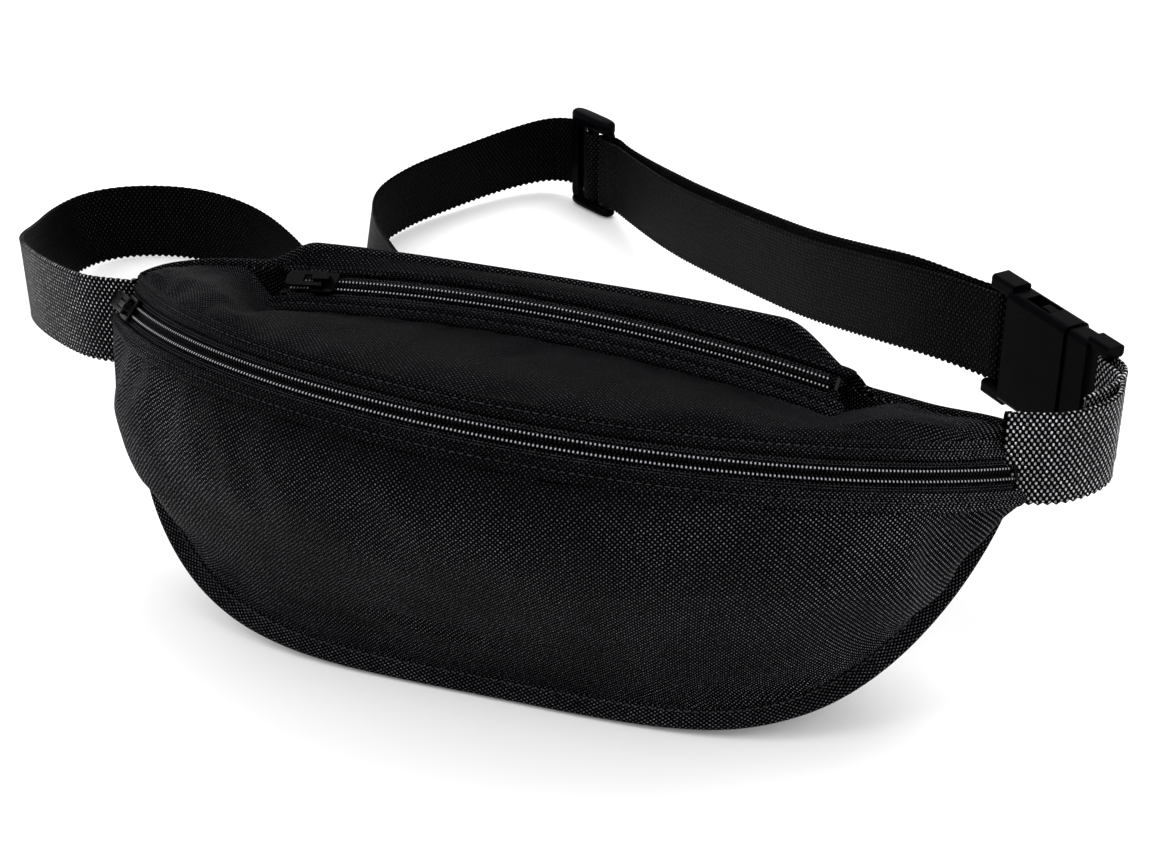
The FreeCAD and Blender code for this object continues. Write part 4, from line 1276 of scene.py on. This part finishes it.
def build_stage(look):
    scene = bpy.context.scene
    mesh = bpy.data.meshes.new("studio_floor")
    reach = 6.0
    mesh.from_pydata([(-reach, -reach, 0), (reach, -reach, 0), (reach, reach, 0),
                      (-reach, reach, 0)], [], [(0, 1, 2, 3)])
    floor = add_object("studio_floor", mesh)
    floor.location.z = -0.0004
    material, tree, shader = new_material("seamless paper, matt white")
    place = add_node(tree, "ShaderNodeTexCoord").outputs["Object"]
    fibre = add_node(tree, "ShaderNodeTexNoise", None, Vector=place, Scale=300.0, Detail=2.0)
    bump = add_node(tree, "ShaderNodeBump", None, Strength=0.02, Distance=0.0001,
                    Height=fibre.outputs[0])
    tree.links.new(bump.outputs[0], shader.inputs["Normal"])
    shader.inputs["Base Color"].default_value = linear("#f6f6f6")
    shader.inputs["Roughness"].default_value = 0.9
    shader.inputs["Specular IOR Level"].default_value = 0.1
    floor.data.materials.append(material)

    world = bpy.data.worlds.new("studio")
    world.use_nodes = True
    background = world.node_tree.nodes["Background"]
    background.inputs["Color"].default_value = linear("#ffffff")
    background.inputs["Strength"].default_value = look.sky_strength
    scene.world = world
    for name, place, target, size, share in (
            ("softbox_left", (-1.1, -0.9, 1.3), (0, 0, 0.05), (1.0, 1.0), 1.0),
            ("softbox_right", (1.3, -0.6, 1.0), (0.1, 0.05, 0.06), (0.8, 1.0), 0.6),
            ("softbox_top", (0.1, 0.7, 1.6), (0, 0.1, 0.05), (1.4, 0.9), 0.9)):
        area_light(name, place, target, size, look.key_power * share)

    data = bpy.data.cameras.new("camera")
    data.lens = CAMERA_LENS
    data.sensor_width = 36.0
    data.clip_start = 0.01
    camera = bpy.data.objects.new("camera", data)
    scene.collection.objects.link(camera)
    back = Vector((math.sin(CAMERA_TURN) * math.cos(CAMERA_RISE),
                   -math.cos(CAMERA_TURN) * math.cos(CAMERA_RISE), math.sin(CAMERA_RISE)))
    camera.location = CAMERA_TARGET + back * CAMERA_DISTANCE
    camera.rotation_euler = (-back).to_track_quat("-Z", "Y").to_euler()
    scene.camera = camera
    scene.view_settings.view_transform = "Standard"


# ---- add-on ---------------------------------------------------------------------------
class PackLook(bpy.types.PropertyGroup):
    """Sizes and colours of the pack that a user may change."""

    fabric_dark: bpy.props.StringProperty(
        name="Fabric ground", description="Colour between the thread tops, as sRGB hex",
        default="#020203")
    # Colour of the painted highlights on the fabric's thread tops.
    fabric_highlight: bpy.props.StringProperty(
        name="Fabric thread tops", description="Colour of the lit thread tops, as sRGB hex",
        default="#8a8a90")
    webbing_dark: bpy.props.StringProperty(
        name="Webbing ground", description="Colour between the webbing's picks, as sRGB hex",
        default="#010102")
    # Colour of the painted highlights on the webbing's thread tops.
    webbing_highlight: bpy.props.StringProperty(
        name="Webbing thread tops", description="Colour of the webbing's thread tops, as sRGB hex",
        default="#f6f6fa")
    thread_pitch: bpy.props.FloatProperty(
        name="Thread pitch", description="Spacing of the fabric's threads", default=0.0009,
        subtype="DISTANCE", unit="LENGTH", precision=5)
    webbing_pitch: bpy.props.FloatProperty(
        name="Webbing pick pitch", description="Spacing of the webbing's picks along it",
        default=0.0013, subtype="DISTANCE", unit="LENGTH", precision=5)
    scallop_pitch: bpy.props.FloatProperty(
        name="Selvedge pitch", description="Length of one scallop on the webbing's edge",
        default=0.0033, subtype="DISTANCE", unit="LENGTH", precision=5)
    welt_overrun: bpy.props.FloatProperty(
        name="Fold overrun", description="How far each folded edge runs past the end of its zip",
        default=0.0035, subtype="DISTANCE", unit="LENGTH", precision=4)
    coil_pitch: bpy.props.FloatProperty(
        name="Coil pitch", description="Spacing of the zip coil's loops", default=0.0015,
        subtype="DISTANCE", unit="LENGTH", precision=5)
    stitch_pitch: bpy.props.FloatProperty(
        name="Stitch pitch", description="Length of one lockstitch on the seams", default=0.0032,
        subtype="DISTANCE", unit="LENGTH", precision=5)
    fill_pressure: bpy.props.FloatProperty(
        name="Fill pressure", description="How hard the contents press on the cloth panels",
        default=3.0, min=0.0, max=10.0)
    slack: bpy.props.FloatProperty(
        name="Cloth slack", description="Share by which the cloth is larger than its outline",
        default=0.016, min=0.0, max=0.2, subtype="FACTOR")
    cloth_cap: bpy.props.FloatProperty(
        name="Cloth travel", description="Furthest that the cloth may settle from its pattern",
        default=0.004, subtype="DISTANCE", unit="LENGTH", precision=4)
    sky_strength: bpy.props.FloatProperty(
        name="Studio fill", description="Brightness of the even white light all round",
        default=0.95, min=0.0, max=5.0)
    key_power: bpy.props.FloatProperty(
        name="Softbox power", description="Power of the left softbox", default=16.0,
        unit="POWER", min=0.0)


FINISHES = {}


def finishes(look):
    if not FINISHES:
        FINISHES.update(build_materials(look))
    return FINISHES


class PACK_OT_panels(bpy.types.Operator):
    """Sew the front, middle and back panels and the strip behind the rear zip"""
    bl_idname = "waist_pack.panels"
    bl_label = "Fabric panels"

    def execute(self, context):
        look = context.scene.waist_pack
        build_panels(look, finishes(look))
        return {"FINISHED"}


class PACK_OT_bindings(bpy.types.Operator):
    """Fold the binding tapes over the lower seam and the top rear seam"""
    bl_idname = "waist_pack.bindings"
    bl_label = "Binding tapes"

    def execute(self, context):
        look = context.scene.waist_pack
        build_bindings(look, finishes(look))
        return {"FINISHED"}


class PACK_OT_zips(bpy.types.Operator):
    """Lay the tapes, coils, sewing rows and folded edges of both zips"""
    bl_idname = "waist_pack.zips"
    bl_label = "Zips"

    def execute(self, context):
        look = context.scene.waist_pack
        build_zips(look, finishes(look))
        return {"FINISHED"}


class PACK_OT_sliders(bpy.types.Operator):
    """Finish the two cast sliders and their pulls"""
    bl_idname = "waist_pack.sliders"
    bl_label = "Sliders and pulls"

    def execute(self, context):
        look = context.scene.waist_pack
        build_sliders(look, finishes(look))
        return {"FINISHED"}


class PACK_OT_belt(bpy.types.Operator):
    """Weave the long and short lengths of webbing and tack their ends"""
    bl_idname = "waist_pack.belt"
    bl_label = "Belt webbing"

    def execute(self, context):
        look = context.scene.waist_pack
        build_belt(look, finishes(look))
        return {"FINISHED"}


class PACK_OT_buckle(bpy.types.Operator):
    """Mould the side-release buckle and the strap adjuster"""
    bl_idname = "waist_pack.buckle"
    bl_label = "Buckle and adjuster"

    def execute(self, context):
        look = context.scene.waist_pack
        build_buckle(look, finishes(look))
        return {"FINISHED"}


class PACK_OT_stage(bpy.types.Operator):
    """Set up the white floor, the soft studio light and the camera"""
    bl_idname = "waist_pack.stage"
    bl_label = "Studio stage"

    def execute(self, context):
        build_stage(context.scene.waist_pack)
        return {"FINISHED"}


OPERATORS = (PACK_OT_panels, PACK_OT_bindings, PACK_OT_zips, PACK_OT_sliders, PACK_OT_belt,
             PACK_OT_buckle, PACK_OT_stage)


class PACK_PT_sidebar(bpy.types.Panel):
    """Buttons that build each part of the pack, and the sizes they use"""
    bl_idname = "PACK_PT_sidebar"
    bl_label = "Waist pack"
    bl_space_type = "VIEW_3D"
    bl_region_type = "UI"
    bl_category = "Waist pack"

    def draw(self, context):
        for operator in OPERATORS:
            self.layout.operator(operator.bl_idname)
        for name in PackLook.__annotations__:
            self.layout.prop(context.scene.waist_pack, name)


CLASSES = (PackLook,) + OPERATORS + (PACK_PT_sidebar,)


def register():
    for item in CLASSES:
        bpy.utils.register_class(item)
    bpy.types.Scene.waist_pack = bpy.props.PointerProperty(type=PackLook)


def unregister():
    del bpy.types.Scene.waist_pack
    for item in reversed(CLASSES):
        bpy.utils.unregister_class(item)


def main():
    register()
    bpy.ops.waist_pack.panels()
    bpy.ops.waist_pack.bindings()
    bpy.ops.waist_pack.zips()
    bpy.ops.waist_pack.sliders()
    bpy.ops.waist_pack.belt()
    bpy.ops.waist_pack.buckle()
    bpy.ops.waist_pack.stage()


if __name__ == "__main__":
    main()
